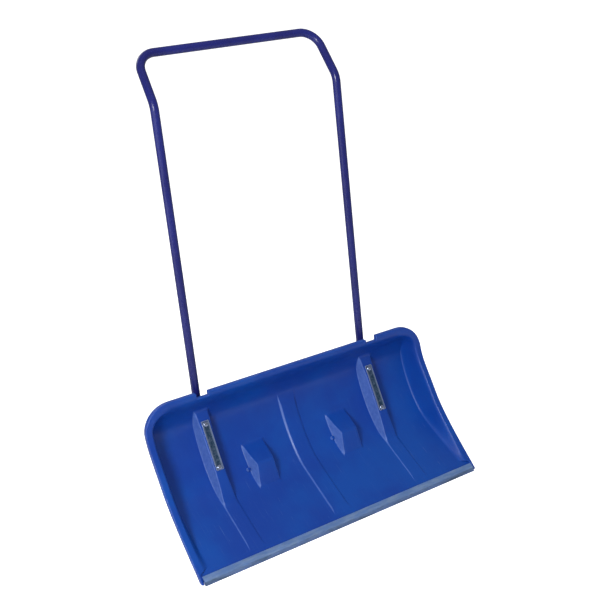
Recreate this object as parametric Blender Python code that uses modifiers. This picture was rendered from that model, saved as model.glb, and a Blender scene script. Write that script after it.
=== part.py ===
"""Wheeled snow shovel: a moulded scoop blade on two wheels, pushed by a bent tube handle.

The shapes are modelled in the handle's own frame: X across the blade, Y from the cutting
edge towards the user, Z along the straight legs of the handle. One empty then leans that
frame back and centres it, so that the shovel stands on its wear strip and both wheels.
"""
import math

import bmesh
import bpy
from mathutils import Matrix, Vector

# Stance: how far the straight legs lean back, and half the depth of the whole shovel.
LEAN = math.radians(3.2)
HALF_DEPTH = 0.1960

# Blade.
HALF_WIDTH = 0.3985
SKIN = 0.0035
EDGE_LOW = 0.0128
TOP_MIDDLE = 0.3572
TOP_ENDS = 0.3600
TOP_NOTCH = 0.3468
BAND_LOW = 0.3425
NOTCH = (0.2280, 0.2600)
NOTCH_STEP = 0.0008
SKIRT_DEPTH = 0.0120
EDGE_ROUND = 0.0025
CORNER_X = 0.3310
CORNER_Z = 0.2930
RIM_BAND = 0.0175
WALL_FOOT = 0.0310
LOW_BAND = 0.0058
LOW_FOOT = 0.0068
TIP_DROP = (0.0062, 0.0083)
DRAFT = 0.19
# Profiles as (height, depth): the scoop's floor, and the front of its side rims.
PAN_LINE = [(0.0128, 0.0100), (0.0900, 0.1360), (0.1160, 0.1720), (0.1520, 0.2005),
            (0.1860, 0.2200), (0.2220, 0.2350), (0.2540, 0.2440), (0.2720, 0.2450),
            (0.2900, 0.2395), (0.3100, 0.2285), (0.3425, 0.2030), (0.3640, 0.2005)]
RIM_LINE = [(0.0128, 0.0085), (0.0350, 0.0305), (0.1000, 0.0890), (0.1540, 0.1300),
            (0.2040, 0.1575), (0.2550, 0.1846), (0.2800, 0.1935), (0.3100, 0.1985),
            (0.3640, 0.2005)]

# Raised ribs and pockets of the blade.
RIDGE_HALF = 0.0240
RIDGE_RISE = 0.0040
RIDGE_TOP = 0.2720
RIDGE_LOW = 0.0240
BOSS_X = 0.2400
BOSS_HALF = 0.0200
BOSS_TOP = (0.2360, 0.3080)
BOSS_SLOPE = math.radians(24.5)
BOSS_RIB = 0.0032
SIDE_RUN = 0.0024
TENT_X = 0.1235
TENT_HALF = 0.0310
TENT_TOP = 0.1852
TENT_PEAK = (0.1600, 0.1535)
TENT_LOW = 0.0970
LINE_GAP = 0.0006
HIGH_FADE, LOW_FADE = 0.0300, 0.0100
LOW_ROWS = 0.0220
# Mesh lines between the raised shapes, out from the middle of the blade.
PLAIN_COLUMNS = (0.0580, 0.1870, 0.2950, 0.3490)
PLAIN_ROWS = (0.0190, 0.0260, 0.0340, 0.0550, 0.0780, 0.1110, 0.1250, 0.1390, 0.1690, 0.2030,
              0.2220, 0.2410, 0.2560, 0.2720, 0.2830, 0.3010, 0.3190, 0.3300)

# Handle tube, its clamp plates and bolts.
TUBE_R = 0.0100
TUBE_WALL = 0.0015
TUBE_SETBACK = 0.0143
LEG_Y = 0.2480
KNEE_Z = 1.0196
TOP_BAR = (0.2350, 0.3198, 1.1260)
FOOT_BEND_R, KNEE_BEND_R, GRIP_BEND_R = 0.060, 0.050, 0.045
PLATE_FROM, PLATE_TO = 0.0325, 0.1545
PLATE_WIDTH, PLATE_THICK, PLATE_EDGE = 0.0200, 0.0020, 0.0004
BOLT_PLACES = (0.0413, 0.1477)
BOLT_R, BOLT_HOLE_R = 0.0030, 0.0034
BOLT_HEAD_R, BOLT_HEAD_H, BOLT_TAIL = 0.0065, 0.0036, 0.0025
BOLT_HOLE_BACK, BOLT_HOLE_FRONT = -0.0400, 0.0100
WASHER_R, WASHER_THICK = 0.0072, 0.0014
NUT_FLATS, NUT_THICK = 0.0100, 0.0050
TUBE_END = 0.1640
PLUG_STEM_R, PLUG_STEM, PLUG_CAP, PLUG_CHAMFER = 0.0082, 0.0120, 0.0025, 0.0006

# Wear strip and the screws behind it.
STRIP_HALF = 0.3910
STRIP_WALL = 0.0015
STRIP_REACH = 0.0148
STRIP_LAND = 0.0050
STRIP_NOSE = (0.0025, 0.0103)
STRIP_HEEL = 0.0050
STRIP_RISE = 0.0025
GROOVE_BACK, GROOVE_FRONT = 0.0086, 0.0072
SCREW_SPACING = 0.1800
SCREW_Y = 0.0150
SCREW_R, SCREW_HOLE_R = 0.0015, 0.0019
SCREW_HEAD_R, SCREW_HEAD_H, SCREW_BITE = 0.0035, 0.0020, 0.0022
SCREWS = 5

# Wheels, their cheeks and axles.
WHEEL_R = 0.0800
WHEEL_Y = 0.2352
TYRE_HALF = 0.0180
TYRE_BORE_R = 0.0620
# Section of the tyre's shoulder as (drop below the tread, inset from the side).
SHOULDER = [(0.0, 0.0090), (0.0015, 0.0045), (0.0055, 0.0010), (0.0100, 0.0)]
BEAD_INSET = 0.0010
HUB_R, HUB_HALF, HUB_BORE_R = 0.0150, 0.0240, 0.0083
WEB_HALF, CORE_LIP, CORE_DRAFT, CORE_INSET = 0.0025, 0.0050, 0.0020, 0.0015
HOLE_RING_R, LIGHT_HOLE_R, LIGHT_HOLES, CORE_CUT = 0.0370, 0.0105, 6, 0.0080
BUSH_R, BUSH_BORE_R, BUSH_HALF = 0.0080, 0.00508, 0.0243
AXLE_R, AXLE_HOLE_R, AXLE_CUT, NUT_CUT = 0.0050, 0.0054, 0.0400, 0.0600
AXLE_TAIL, AXLE_TIP, HEAD_CHAMFER = 0.0030, 0.0010, 0.0015
CHEEK_IN, CHEEK_OUT = 0.0270, 0.0310
CHEEK_BOSS_R = 0.0160
CHEEK_LOW, CHEEK_HIGH = 0.0850, 0.2080
CHEEK_STEPS = 7
CHEEK_ARC = (30, -100)
SPACER_R, SPACER_THICK = 0.0095, 0.0015
AXLE_WASHER_R, AXLE_WASHER_THICK = 0.0105, 0.0020
AXLE_HEAD_FLATS, AXLE_HEAD_H, AXLE_NUT_H = 0.0170, 0.0064, 0.0080
ROUND_STEPS, CORE_STEPS = 48, 32

GAP = 0.0003
SIDES = (("left", -1), ("right", 1))

WHEEL_Z = (WHEEL_R + math.sin(LEAN) * WHEEL_Y) / math.cos(LEAN)
# Unit vectors in the handle frame: down the boss face, and out of its front.
DOWN_BOSS = Vector((0, -math.sin(BOSS_SLOPE), -math.cos(BOSS_SLOPE)))
OUT_OF_BOSS = Vector((0, -math.cos(BOSS_SLOPE), math.sin(BOSS_SLOPE)))
BLUE_PLASTIC = ("blue_plastic", (0.012, 0.062, 0.330), 0.42, 0.0)
BLUE_PAINT = ("blue_paint", (0.020, 0.026, 0.210), 0.28, 0.0)
ZINC = ("zinc_steel", (0.46, 0.50, 0.54), 0.38, 1.0)
STRIP_STEEL = ("strip_steel", (0.30, 0.36, 0.52), 0.40, 1.0)
RUBBER = ("black_rubber", (0.018, 0.018, 0.020), 0.80, 0.0)
GREY_PLASTIC = ("grey_plastic", (0.075, 0.080, 0.090), 0.50, 0.0)
NYLON = ("white_nylon", (0.70, 0.69, 0.64), 0.45, 0.0)


# ---------------------------------------------------------------- scene and materials
def clear_scene():
    for obj in list(bpy.data.objects):
        bpy.data.objects.remove(obj, do_unlink=True)


def new_collection(name):
    group = bpy.data.collections.new(name)
    bpy.context.scene.collection.children.link(group)
    return group


def material(spec):
    name, colour, roughness, metallic = spec
    found = bpy.data.materials.get(name)
    if found:
        return found
    mat = bpy.data.materials.new(name)
    mat.use_nodes = True
    shader = mat.node_tree.nodes["Principled BSDF"]
    shader.inputs["Base Color"].default_value = (*colour, 1)
    shader.inputs["Roughness"].default_value = roughness
    shader.inputs["Metallic"].default_value = metallic
    mat.diffuse_color = (*colour, 1)
    return mat


def add_object(name, mesh, spec, matrix=None):
    obj = bpy.data.objects.new(name, mesh)
    PARTS.objects.link(obj)
    obj.parent = STANCE
    obj.matrix_local = matrix or Matrix.Identity(4)
    if spec:
        mesh.materials.append(material(spec))
    return obj


def make_cutter(obj):
    PARTS.objects.unlink(obj)
    CUTTERS.objects.link(obj)
    obj.hide_render = True
    obj.display_type = "WIRE"
    return obj


def boolean(obj, other, operation):
    change = obj.modifiers.new(operation.lower() + "_" + other.name, "BOOLEAN")
    change.operation = operation
    change.solver = "EXACT"
    change.object = other


# ---------------------------------------------------------------- curves and frames
def along(points, at):
    """Height of a smooth line through (position, value) points."""
    last = len(points) - 1
    if at <= points[0][0] or at >= points[last][0]:
        first, second = (points[0], points[1]) if at <= points[0][0] else (points[-2], points[-1])
        rate = (second[1] - first[1]) / (second[0] - first[0])
        base = first if at <= points[0][0] else second
        return base[1] + rate * (at - base[0])
    i = max(k for k in range(last) if points[k][0] <= at)
    (x0, y0), (x1, y1) = points[i], points[i + 1]
    run = x1 - x0
    before = points[max(i - 1, 0)]
    after = points[min(i + 2, last)]
    rate0 = (y1 - before[1]) / (x1 - before[0])
    rate1 = (after[1] - y0) / (after[0] - x0)
    t = (at - x0) / run
    stay = 2 * t ** 3 - 3 * t ** 2 + 1
    lead = t ** 3 - 2 * t ** 2 + t
    pull = t ** 3 - t ** 2
    return stay * y0 + (1 - stay) * y1 + run * (lead * rate0 + pull * rate1)


def skin_point(height, depth):
    """Point of the scoop's floor section, pushed back through the skin by depth."""
    step = 0.0005
    ahead = along(PAN_LINE, height + step) - along(PAN_LINE, height - step)
    normal = Vector((2 * step, -ahead)).normalized()
    return Vector((along(PAN_LINE, height), height)) + normal * depth


def clamp(value, low=0.0, high=1.0):
    return max(low, min(high, value))


def on_boss(side, place, out=0.0):
    """Point on the boss face's centre line, place down from its top and out of it."""
    start = Vector((side * BOSS_X, *BOSS_TOP))
    return start + DOWN_BOSS * place + OUT_OF_BOSS * out


def frame_at(origin, z_axis):
    """Matrix of a frame at origin whose Z runs along z_axis and whose X stays level."""
    z_dir = Vector(z_axis).normalized()
    x_dir = Vector((1, 0, 0)) if abs(z_dir.x) < 0.9 else Vector((0, 1, 0))
    y_dir = z_dir.cross(x_dir).normalized()
    x_dir = y_dir.cross(z_dir)
    turn = Matrix((x_dir, y_dir, z_dir)).transposed().to_4x4()
    return Matrix.Translation(origin) @ turn


def fillet(points, radii, steps):
    """Polyline with each inner corner replaced by an arc of its own radius."""
    path = [Vector(points[0])]
    for before, corner, after, radius in zip(points, points[1:], points[2:], radii):
        here = Vector(corner)
        back = (Vector(before) - here).normalized()
        ahead = (Vector(after) - here).normalized()
        half = back.angle(ahead) / 2
        centre = here + (back + ahead).normalized() * (radius / math.sin(half))
        start = here + back * (radius / math.tan(half)) - centre
        finish = here + ahead * (radius / math.tan(half)) - centre
        for i in range(steps + 1):
            path.append(centre + start.slerp(finish, i / steps).normalized() * radius)
    path.append(Vector(points[-1]))
    return path


# ---------------------------------------------------------------- solids
def turned(name, profile, spec, matrix, steps=16, closed=False):
    """Solid of revolution about local Z; the profile holds (radius, height) pairs."""
    bm = bmesh.new()
    verts = [bm.verts.new((r, 0, h)) for r, h in profile]
    pairs = list(zip(verts, verts[1:]))
    if closed:
        pairs.append((verts[-1], verts[0]))
    for pair in pairs:
        bm.edges.new(pair)
    mesh = bpy.data.meshes.new(name)
    bm.to_mesh(mesh)
    bm.free()
    obj = add_object(name, mesh, spec, matrix)
    screw = obj.modifiers.new("turn", "SCREW")
    screw.axis = "Z"
    screw.steps = steps
    screw.render_steps = steps
    screw.use_merge_vertices = True
    screw.merge_threshold = 0.00002
    screw.use_smooth_shade = False
    return obj


def ring(name, outer, bore, low, high, spec, matrix, steps=24):
    profile = [(outer, high), (outer, low), (bore, low), (bore, high)]
    return turned(name, profile, spec, matrix, steps, closed=True)


def rod(name, radius, low, high, spec, matrix, steps=24):
    profile = [(0, high), (radius, high), (radius, low), (0, low)]
    return turned(name, profile, spec, matrix, steps)


def hex_prism(name, flats, low, high, spec, matrix):
    bm = bmesh.new()
    radius = flats / math.sqrt(3)
    middle = Matrix.Translation((0, 0, (low + high) / 2))
    bmesh.ops.create_cone(bm, cap_ends=True, segments=6, radius1=radius, radius2=radius,
                          depth=high - low, matrix=middle)
    mesh = bpy.data.meshes.new(name)
    bm.to_mesh(mesh)
    bm.free()
    return add_object(name, mesh, spec, matrix)


def slab(name, outline, low, high, spec):
    """Flat outline of (y, z) points, standing across X from low to high."""
    curve = bpy.data.curves.new(name, "CURVE")
    curve.dimensions = "2D"
    curve.fill_mode = "BOTH"
    curve.extrude = (high - low) / 2
    spline = curve.splines.new("POLY")
    spline.points.add(len(outline) - 1)
    for point, (y, z) in zip(spline.points, outline):
        point.co = (y, z, 0, 1)
    spline.use_cyclic_u = True
    turn = Matrix(((0, 0, 1), (1, 0, 0), (0, 1, 0))).to_4x4()
    matrix = Matrix.Translation(((low + high) / 2, 0, 0)) @ turn
    return curve_to_mesh(add_object(name, curve, None, matrix), spec, matrix)


def curve_to_mesh(source, spec, matrix=None):
    """Mesh object in place of a curve object, its caps welded to its sides."""
    name = source.name
    graph = bpy.context.evaluated_depsgraph_get()
    mesh = bpy.data.meshes.new_from_object(source.evaluated_get(graph))
    bpy.data.objects.remove(source, do_unlink=True)
    bm = bmesh.new()
    bm.from_mesh(mesh)
    bmesh.ops.remove_doubles(bm, verts=bm.verts, dist=0.00001)
    bmesh.ops.recalc_face_normals(bm, faces=bm.faces)
    bm.to_mesh(mesh)
    bm.free()
    mesh.name = name
    mesh.materials.clear()
    return add_object(name, mesh, spec, matrix)


# ---------------------------------------------------------------- blade
def top_edge(x):
    if abs(x) <= NOTCH[0]:
        return TOP_MIDDLE
    if abs(x) >= NOTCH[1]:
        return TOP_ENDS
    return TOP_NOTCH


def rib_fade(z):
    """Share of a rib's full rise at height z, sloping off at both of its ends."""
    return clamp((RIDGE_TOP - z) / HIGH_FADE) * clamp((z - RIDGE_LOW) / LOW_FADE)


def rise_of_ridge(z):
    return RIDGE_RISE * rib_fade(z)


def rise_of_boss(z):
    """How far the boss face stands in front of the floor, measured along Y."""
    face = BOSS_TOP[0] - (BOSS_TOP[1] - z) * math.tan(BOSS_SLOPE)
    return max(along(PAN_LINE, z) - face, BOSS_RIB * rib_fade(z)) if z < BOSS_TOP[1] else 0.0


def rise_of_tent(z):
    if not TENT_LOW < z < TENT_TOP:
        return 0.0
    end = TENT_TOP if z > TENT_PEAK[1] else TENT_LOW
    share = (z - end) / (TENT_PEAK[1] - end)
    edge = along(PAN_LINE, end)
    return max(along(PAN_LINE, z) - (edge + (TENT_PEAK[0] - edge) * share), 0.0)


def raised_lines(middle, half, rise):
    """Foot, crest, crest and foot of a raised shape; low ones have gentler sides."""
    top = half - max(DRAFT * rise, min(rise, SIDE_RUN), LINE_GAP)
    return [middle - half, middle - top, middle + top, middle + half]


def columns(z, row_kind):
    """X of the mesh lines of one half, from the middle out, in the row at height z."""
    ridge = raised_lines(0, RIDGE_HALF, rise_of_ridge(z))[2:]
    tent = raised_lines(TENT_X, TENT_HALF, rise_of_tent(z))
    boss = raised_lines(BOSS_X, BOSS_HALF, rise_of_boss(z))
    if row_kind != "floor":
        boss = [NOTCH[0] - NOTCH_STEP, NOTCH[0], NOTCH[1], NOTCH[1] + NOTCH_STEP]
    low = z < LOW_ROWS
    foot = HALF_WIDTH - (LOW_FOOT if low else WALL_FOOT)
    crest = HALF_WIDTH - (LOW_BAND if low else RIM_BAND)
    outer = [HALF_WIDTH - EDGE_ROUND, HALF_WIDTH, HALF_WIDTH]
    inner, between, beyond, last = PLAIN_COLUMNS
    return (ridge + [inner] + tent + [between] + boss + [beyond, CORNER_X, last, foot, crest]
            + outer)


def rows():
    """Height and kind of each mesh row, from the cutting edge to the top skirt."""
    shaped = [EDGE_LOW, TENT_LOW, TENT_PEAK[1], TENT_TOP, CORNER_Z, BOSS_TOP[1]]
    found = [(z, "floor") for z in sorted(shaped + list(PLAIN_ROWS))]
    return found + [(BAND_LOW, "band"), (1.0, "round"), (1.0, "edge"), (1.0, "skirt")]


def round_corner(x, z, top):
    """Square grid corner pressed into the quarter circle of the blade's outline."""
    a = (abs(x) - CORNER_X) / (HALF_WIDTH - CORNER_X)
    b = (z - CORNER_Z) / (top - CORNER_Z)
    if a <= 0 or b <= 0:
        return x, z, None
    reach = max(a, b)
    turn = math.pi / 4 * (b / a if a >= b else 2 - a / b)
    new_x = CORNER_X + (HALF_WIDTH - CORNER_X) * reach * math.cos(turn)
    new_z = CORNER_Z + (top - CORNER_Z) * reach * math.sin(turn)
    return math.copysign(new_x, x), new_z, (1 - reach) * (HALF_WIDTH - CORNER_X)


def blade_front(x, z, inset, kind_rise):
    low = z < LOW_ROWS
    band, foot = (LOW_BAND, LOW_FOOT) if low else (RIM_BAND, WALL_FOOT)
    wall = clamp((foot - inset) / (foot - band))
    pan, rim = along(PAN_LINE, z), along(RIM_LINE, z)
    return pan + (min(rim, pan) - pan) * wall - kind_rise


def line_rise(index, z):
    """Rise of the raised shape that owns this mesh line of a half, or nothing."""
    owners = {0: rise_of_ridge, 4: rise_of_tent, 5: rise_of_tent, 9: rise_of_boss, 10: rise_of_boss}
    return owners[index](z) if index in owners else 0.0


def blade_point(half_index, side, z, kind):
    count = len(columns(z, kind))
    x = side * columns(z, kind)[half_index]
    top = top_edge(x)
    if kind in ("round", "edge", "skirt"):
        z = top - (EDGE_ROUND if kind == "round" else 0)
    rise = line_rise(half_index, z) if kind == "floor" else 0.0
    inset = HALF_WIDTH - abs(x)
    x, z, rounded = round_corner(x, z, top)
    if rounded is not None:
        inset = rounded
    y = blade_front(x, z, inset, rise)
    if z == EDGE_LOW and inset < LOW_FOOT - LINE_GAP:
        y, z = y - TIP_DROP[0], z - TIP_DROP[1]
    on_edge = kind in ("edge", "skirt") or half_index >= count - 2
    on_skirt = kind == "skirt" or half_index == count - 1
    if on_skirt:
        y += SKIRT_DEPTH
    elif on_edge:
        y += EDGE_ROUND
    return Vector((x, y, z))


def build_blade():
    lines = rows()
    per_half = len(columns(0.2, "floor"))
    bm = bmesh.new()
    bmesh.ops.create_grid(bm, x_segments=2 * per_half - 1, y_segments=len(lines) - 1, size=1)
    for vert in bm.verts:
        column = round((vert.co.x + 1) / 2 * (2 * per_half - 1))
        z, kind = lines[round((vert.co.y + 1) / 2 * (len(lines) - 1))]
        side = -1 if column < per_half else 1
        half_index = per_half - 1 - column if side < 0 else column - per_half
        vert.co = blade_point(half_index, side, z, kind)
    bmesh.ops.recalc_face_normals(bm, faces=bm.faces)
    middle = min(bm.faces, key=lambda face: (face.calc_center_median() - Vector((0, 0.2, 0.2))).length)
    if middle.normal.y > 0:
        bmesh.ops.reverse_faces(bm, faces=bm.faces)
    mesh = bpy.data.meshes.new("blade")
    bm.to_mesh(mesh)
    bm.free()
    blade = add_object("blade", mesh, BLUE_PLASTIC)
    shell = blade.modifiers.new("skin", "SOLIDIFY")
    shell.thickness = SKIN
    shell.offset = -1
    shell.use_even_offset = False
    return blade


def cheek_outline():
    """Side view of a wheel cheek: rooted in the skin, rounded about the axle."""
    rise = CHEEK_HIGH - CHEEK_LOW
    heights = [CHEEK_LOW + rise * i / CHEEK_STEPS for i in range(CHEEK_STEPS + 1)]
    outline = [tuple(skin_point(z, SKIN / 2)) for z in heights]
    start, finish = CHEEK_ARC
    for i in range(CHEEK_STEPS):
        angle = math.radians(start + (finish - start) * i / (CHEEK_STEPS - 1))
        outline.append((WHEEL_Y + CHEEK_BOSS_R * math.cos(angle),
                        WHEEL_Z + CHEEK_BOSS_R * math.sin(angle)))
    return outline


def add_cheeks(blade):
    for name, side in SIDES:
        for part, sign in (("inner", -side), ("outer", side)):
            low, high = sorted((CHEEK_IN * sign, CHEEK_OUT * sign))
            middle = side * TENT_X
            cheek = slab(f"{name}_{part}_cheek", cheek_outline(), middle + low, middle + high, None)
            boolean(blade, make_cutter(cheek), "UNION")
        place = frame_at((side * TENT_X, WHEEL_Y, WHEEL_Z), (1, 0, 0))
        hole = rod(f"{name}_axle_hole", AXLE_HOLE_R, -AXLE_CUT, AXLE_CUT, None, place, 32)
        boolean(blade, make_cutter(hole), "DIFFERENCE")


# ---------------------------------------------------------------- handle and its fixings
def build_handle():
    foot = on_boss(1, TUBE_END, -TUBE_SETBACK)
    drop = (foot.y - LEG_Y) / DOWN_BOSS.y
    bend = foot - DOWN_BOSS * drop
    bar_x, bar_y, bar_z = TOP_BAR
    half = [foot, bend, Vector((BOSS_X, LEG_Y, KNEE_Z)), Vector((bar_x, bar_y, bar_z))]
    other = [Vector((-p.x, p.y, p.z)) for p in reversed(half)]
    radii = [FOOT_BEND_R, KNEE_BEND_R, GRIP_BEND_R]
    path = fillet(half + other, radii + radii[::-1], 5)
    curve = bpy.data.curves.new("handle_tube", "CURVE")
    curve.dimensions = "3D"
    curve.bevel_depth = TUBE_R
    curve.bevel_resolution = 4
    curve.use_fill_caps = False
    spline = curve.splines.new("POLY")
    spline.points.add(len(path) - 1)
    for point, place in zip(spline.points, path):
        point.co = (*place, 1)
    tube = curve_to_mesh(add_object("handle_tube", curve, None), BLUE_PAINT)
    wall = tube.modifiers.new("wall", "SOLIDIFY")
    wall.thickness = TUBE_WALL
    wall.offset = -1
    return tube


def bolt_profile(reach):
    """Dome head above the origin, plain shank below it."""
    dome = []
    for i in range(5):
        angle = math.radians(90 - 22.5 * i)
        dome.append((BOLT_HEAD_R * math.cos(angle), GAP + BOLT_HEAD_H * math.sin(angle)))
    dome[0] = (0, GAP + BOLT_HEAD_H)
    return dome + [(BOLT_R, GAP), (BOLT_R, -reach), (0, -reach)]


def build_clamps(blade, tube):
    rear_of_tube = TUBE_SETBACK + TUBE_R
    for name, side in SIDES:
        middle = (PLATE_FROM + PLATE_TO) / 2
        plate = build_plate(f"{name}_clamp_plate", side, middle)
        for row, place in zip(("upper", "lower"), BOLT_PLACES):
            label = f"{name}_{row}"
            axis = frame_at(on_boss(side, place), OUT_OF_BOSS)
            hole = rod(f"{label}_bolt_hole", BOLT_HOLE_R, BOLT_HOLE_BACK, BOLT_HOLE_FRONT,
                       None, axis, 16)
            make_cutter(hole)
            for piece in (blade, tube, plate):
                boolean(piece, hole, "DIFFERENCE")
            washer_front = -rear_of_tube - GAP
            nut_front = washer_front - WASHER_THICK - GAP
            ring(f"{label}_washer", WASHER_R, BOLT_HOLE_R, washer_front - WASHER_THICK,
                 washer_front, ZINC, axis, 20)
            nut = hex_prism(f"{label}_nut", NUT_FLATS, nut_front - NUT_THICK, nut_front, ZINC, axis)
            boolean(nut, hole, "DIFFERENCE")
            seat = PLATE_THICK + GAP
            reach = seat - nut_front + NUT_THICK + BOLT_TAIL
            head = frame_at(on_boss(side, place, seat), OUT_OF_BOSS)
            turned(f"{label}_bolt", bolt_profile(reach), ZINC, head, 16)


def build_plate(name, side, middle):
    bm = bmesh.new()
    bmesh.ops.create_cube(bm, size=1)
    length = PLATE_TO - PLATE_FROM
    bmesh.ops.scale(bm, vec=(PLATE_WIDTH, length, PLATE_THICK), verts=bm.verts)
    mesh = bpy.data.meshes.new(name)
    bm.to_mesh(mesh)
    bm.free()
    plate = add_object(name, mesh, ZINC,
                       frame_at(on_boss(side, middle, GAP + PLATE_THICK / 2), OUT_OF_BOSS))
    edges = plate.modifiers.new("soft_edges", "BEVEL")
    edges.width = PLATE_EDGE
    edges.segments = 1
    return plate


def build_plugs():
    for name, side in SIDES:
        end = frame_at(on_boss(side, TUBE_END, -TUBE_SETBACK), -DOWN_BOSS)
        profile = [(0, PLUG_STEM), (PLUG_STEM_R, PLUG_STEM), (PLUG_STEM_R, -GAP), (TUBE_R, -GAP),
                   (TUBE_R - PLUG_CHAMFER, -GAP - PLUG_CAP), (0, -GAP - PLUG_CAP)]
        turned(f"{name}_tube_plug", profile, GREY_PLASTIC, end, 16)


# ---------------------------------------------------------------- wear strip
def strip_outline():
    """Section of the wear strip: a nose with a sole land, and a groove for the blade."""
    (z0, y0), (z1, y1) = PAN_LINE[0], PAN_LINE[1]
    rate = (z1 - z0) / (y1 - y0)
    lean = math.cos(math.atan(rate))

    def line(y, out):
        return y, z0 + rate * (y - y0) + out / lean

    step = Vector((-math.sin(math.atan(rate)), lean)) * STRIP_WALL
    top = Vector(line(STRIP_REACH, GAP + STRIP_WALL))
    back = Vector(line(STRIP_REACH + STRIP_HEEL, -SKIN - GAP - STRIP_WALL))
    land = (STRIP_LAND, STRIP_LAND * math.tan(LEAN))
    return [tuple(top), STRIP_NOSE, (0, 0), land,
            line(STRIP_LAND + STRIP_RISE, -SKIN - GAP - STRIP_WALL), tuple(back),
            tuple(back + step), line(GROOVE_BACK, -SKIN - GAP), line(GROOVE_FRONT, GAP),
            tuple(top - step)]


def build_strip(blade):
    strip = slab("wear_strip", strip_outline(), -STRIP_HALF, STRIP_HALF, STRIP_STEEL)
    (z0, y0), (z1, y1) = PAN_LINE[0], PAN_LINE[1]
    slope = math.atan2(z1 - z0, y1 - y0)
    inward = Vector((0, -math.sin(slope), math.cos(slope)))
    seat = Vector((0, SCREW_Y, z0 + math.tan(slope) * (SCREW_Y - y0))) - inward * (
        SKIN + 2 * GAP + STRIP_WALL)
    for i in range(SCREWS):
        across = (i - (SCREWS - 1) / 2) * SCREW_SPACING
        place = frame_at(seat + Vector((across, 0, 0)), inward)
        reach = STRIP_WALL + 2 * GAP + SCREW_BITE
        hole = rod(f"screw_hole_{i + 1}", SCREW_HOLE_R, -SCREW_HEAD_H, reach + GAP, None, place, 12)
        make_cutter(hole)
        boolean(strip, hole, "DIFFERENCE")
        boolean(blade, hole, "DIFFERENCE")
        profile = [(0, reach), (SCREW_R, reach), (SCREW_R, 0), (SCREW_HEAD_R, 0),
                   (SCREW_HEAD_R, -0.6 * SCREW_HEAD_H), (0.7 * SCREW_HEAD_R, -SCREW_HEAD_H),
                   (0, -SCREW_HEAD_H)]
        turned(f"strip_screw_{i + 1}", profile, ZINC, place, 12)


# ---------------------------------------------------------------- wheels
def tyre_profile():
    """Closed section: flat tread, rounded shoulders, flat bore."""
    half, top = TYRE_HALF, WHEEL_R
    right = [(top - drop, half - inset) for drop, inset in SHOULDER]
    right.append((TYRE_BORE_R, half - BEAD_INSET))
    left = [(r, -h) for r, h in reversed(right)]
    return right[::-1] + left[::-1]


def core_profile():
    lip_r = TYRE_BORE_R - GAP
    inner_r = lip_r - CORE_LIP
    half = TYRE_HALF - CORE_INSET
    upper = [(HUB_BORE_R, HUB_HALF), (HUB_R, HUB_HALF), (HUB_R + CORE_DRAFT, WEB_HALF),
             (inner_r - CORE_DRAFT, WEB_HALF), (inner_r, half), (lip_r, half)]
    lower = [(r, -h) for r, h in reversed(upper)]
    return upper + lower


def build_wheel(name, side):
    centre = Vector((side * TENT_X, WHEEL_Y, WHEEL_Z))
    axis = frame_at(centre, (side, 0, 0))
    turned(f"{name}_tyre", tyre_profile(), RUBBER, axis, ROUND_STEPS, closed=True)
    core = turned(f"{name}_wheel_core", core_profile(), GREY_PLASTIC, axis, CORE_STEPS, closed=True)
    for i in range(LIGHT_HOLES):
        turn = Matrix.Rotation(2 * math.pi * i / LIGHT_HOLES, 4, "Z")
        spot = axis @ turn @ Matrix.Translation((HOLE_RING_R, 0, 0))
        hole = rod(f"{name}_light_hole_{i + 1}", LIGHT_HOLE_R, -CORE_CUT, CORE_CUT, None, spot, 16)
        boolean(core, make_cutter(hole), "DIFFERENCE")
    ring(f"{name}_bush", BUSH_R, BUSH_BORE_R, -BUSH_HALF, BUSH_HALF, NYLON, axis, ROUND_STEPS)
    build_axle(name, axis)


def build_axle(name, axis):
    for label, sign in (("inner", -1), ("outer", 1)):
        low, high = sorted((sign * (CHEEK_IN - GAP), sign * (CHEEK_IN - GAP - SPACER_THICK)))
        ring(f"{name}_{label}_spacer", SPACER_R, AXLE_HOLE_R, low, high, ZINC, axis)
    face = CHEEK_OUT + GAP
    ring(f"{name}_axle_washer", AXLE_WASHER_R, AXLE_HOLE_R, -face - AXLE_WASHER_THICK, -face, ZINC, axis)
    nut_face = face + AXLE_WASHER_THICK + GAP
    nut = hex_prism(f"{name}_axle_nut", AXLE_HEAD_FLATS, -nut_face - AXLE_NUT_H, -nut_face, ZINC, axis)
    bore = rod(f"{name}_nut_bore", AXLE_R + GAP, -NUT_CUT, 0.0, None, axis)
    boolean(nut, make_cutter(bore), "DIFFERENCE")
    tail = nut_face + AXLE_NUT_H + AXLE_TAIL
    flange_r = AXLE_HEAD_FLATS / 2
    head = face + AXLE_HEAD_H
    profile = [(0, head), (flange_r - HEAD_CHAMFER, head), (flange_r, head - HEAD_CHAMFER),
               (flange_r, face), (AXLE_R, face), (AXLE_R, AXLE_TIP - tail),
               (AXLE_R - AXLE_TIP, -tail), (0, -tail)]
    turned(f"{name}_axle_bolt", profile, ZINC, axis, ROUND_STEPS)


# ---------------------------------------------------------------- the whole shovel
clear_scene()
PARTS = new_collection("wheeled_snow_shovel")
CUTTERS = new_collection("cutters")
STANCE = bpy.data.objects.new("stance", None)
PARTS.objects.link(STANCE)
STANCE.rotation_euler = (-LEAN, 0, 0)
STANCE.location = (0, -HALF_DEPTH, 0)

blade_object = build_blade()
add_cheeks(blade_object)
tube_object = build_handle()
build_clamps(blade_object, tube_object)
build_plugs()
build_strip(blade_object)
for side_name, side_sign in SIDES:
    build_wheel(side_name, side_sign)
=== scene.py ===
from math import atan, atan2, copysign, cos, hypot, pi, radians, sin, sqrt, tan

import bmesh
import bpy
from mathutils import Matrix, Vector


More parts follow.
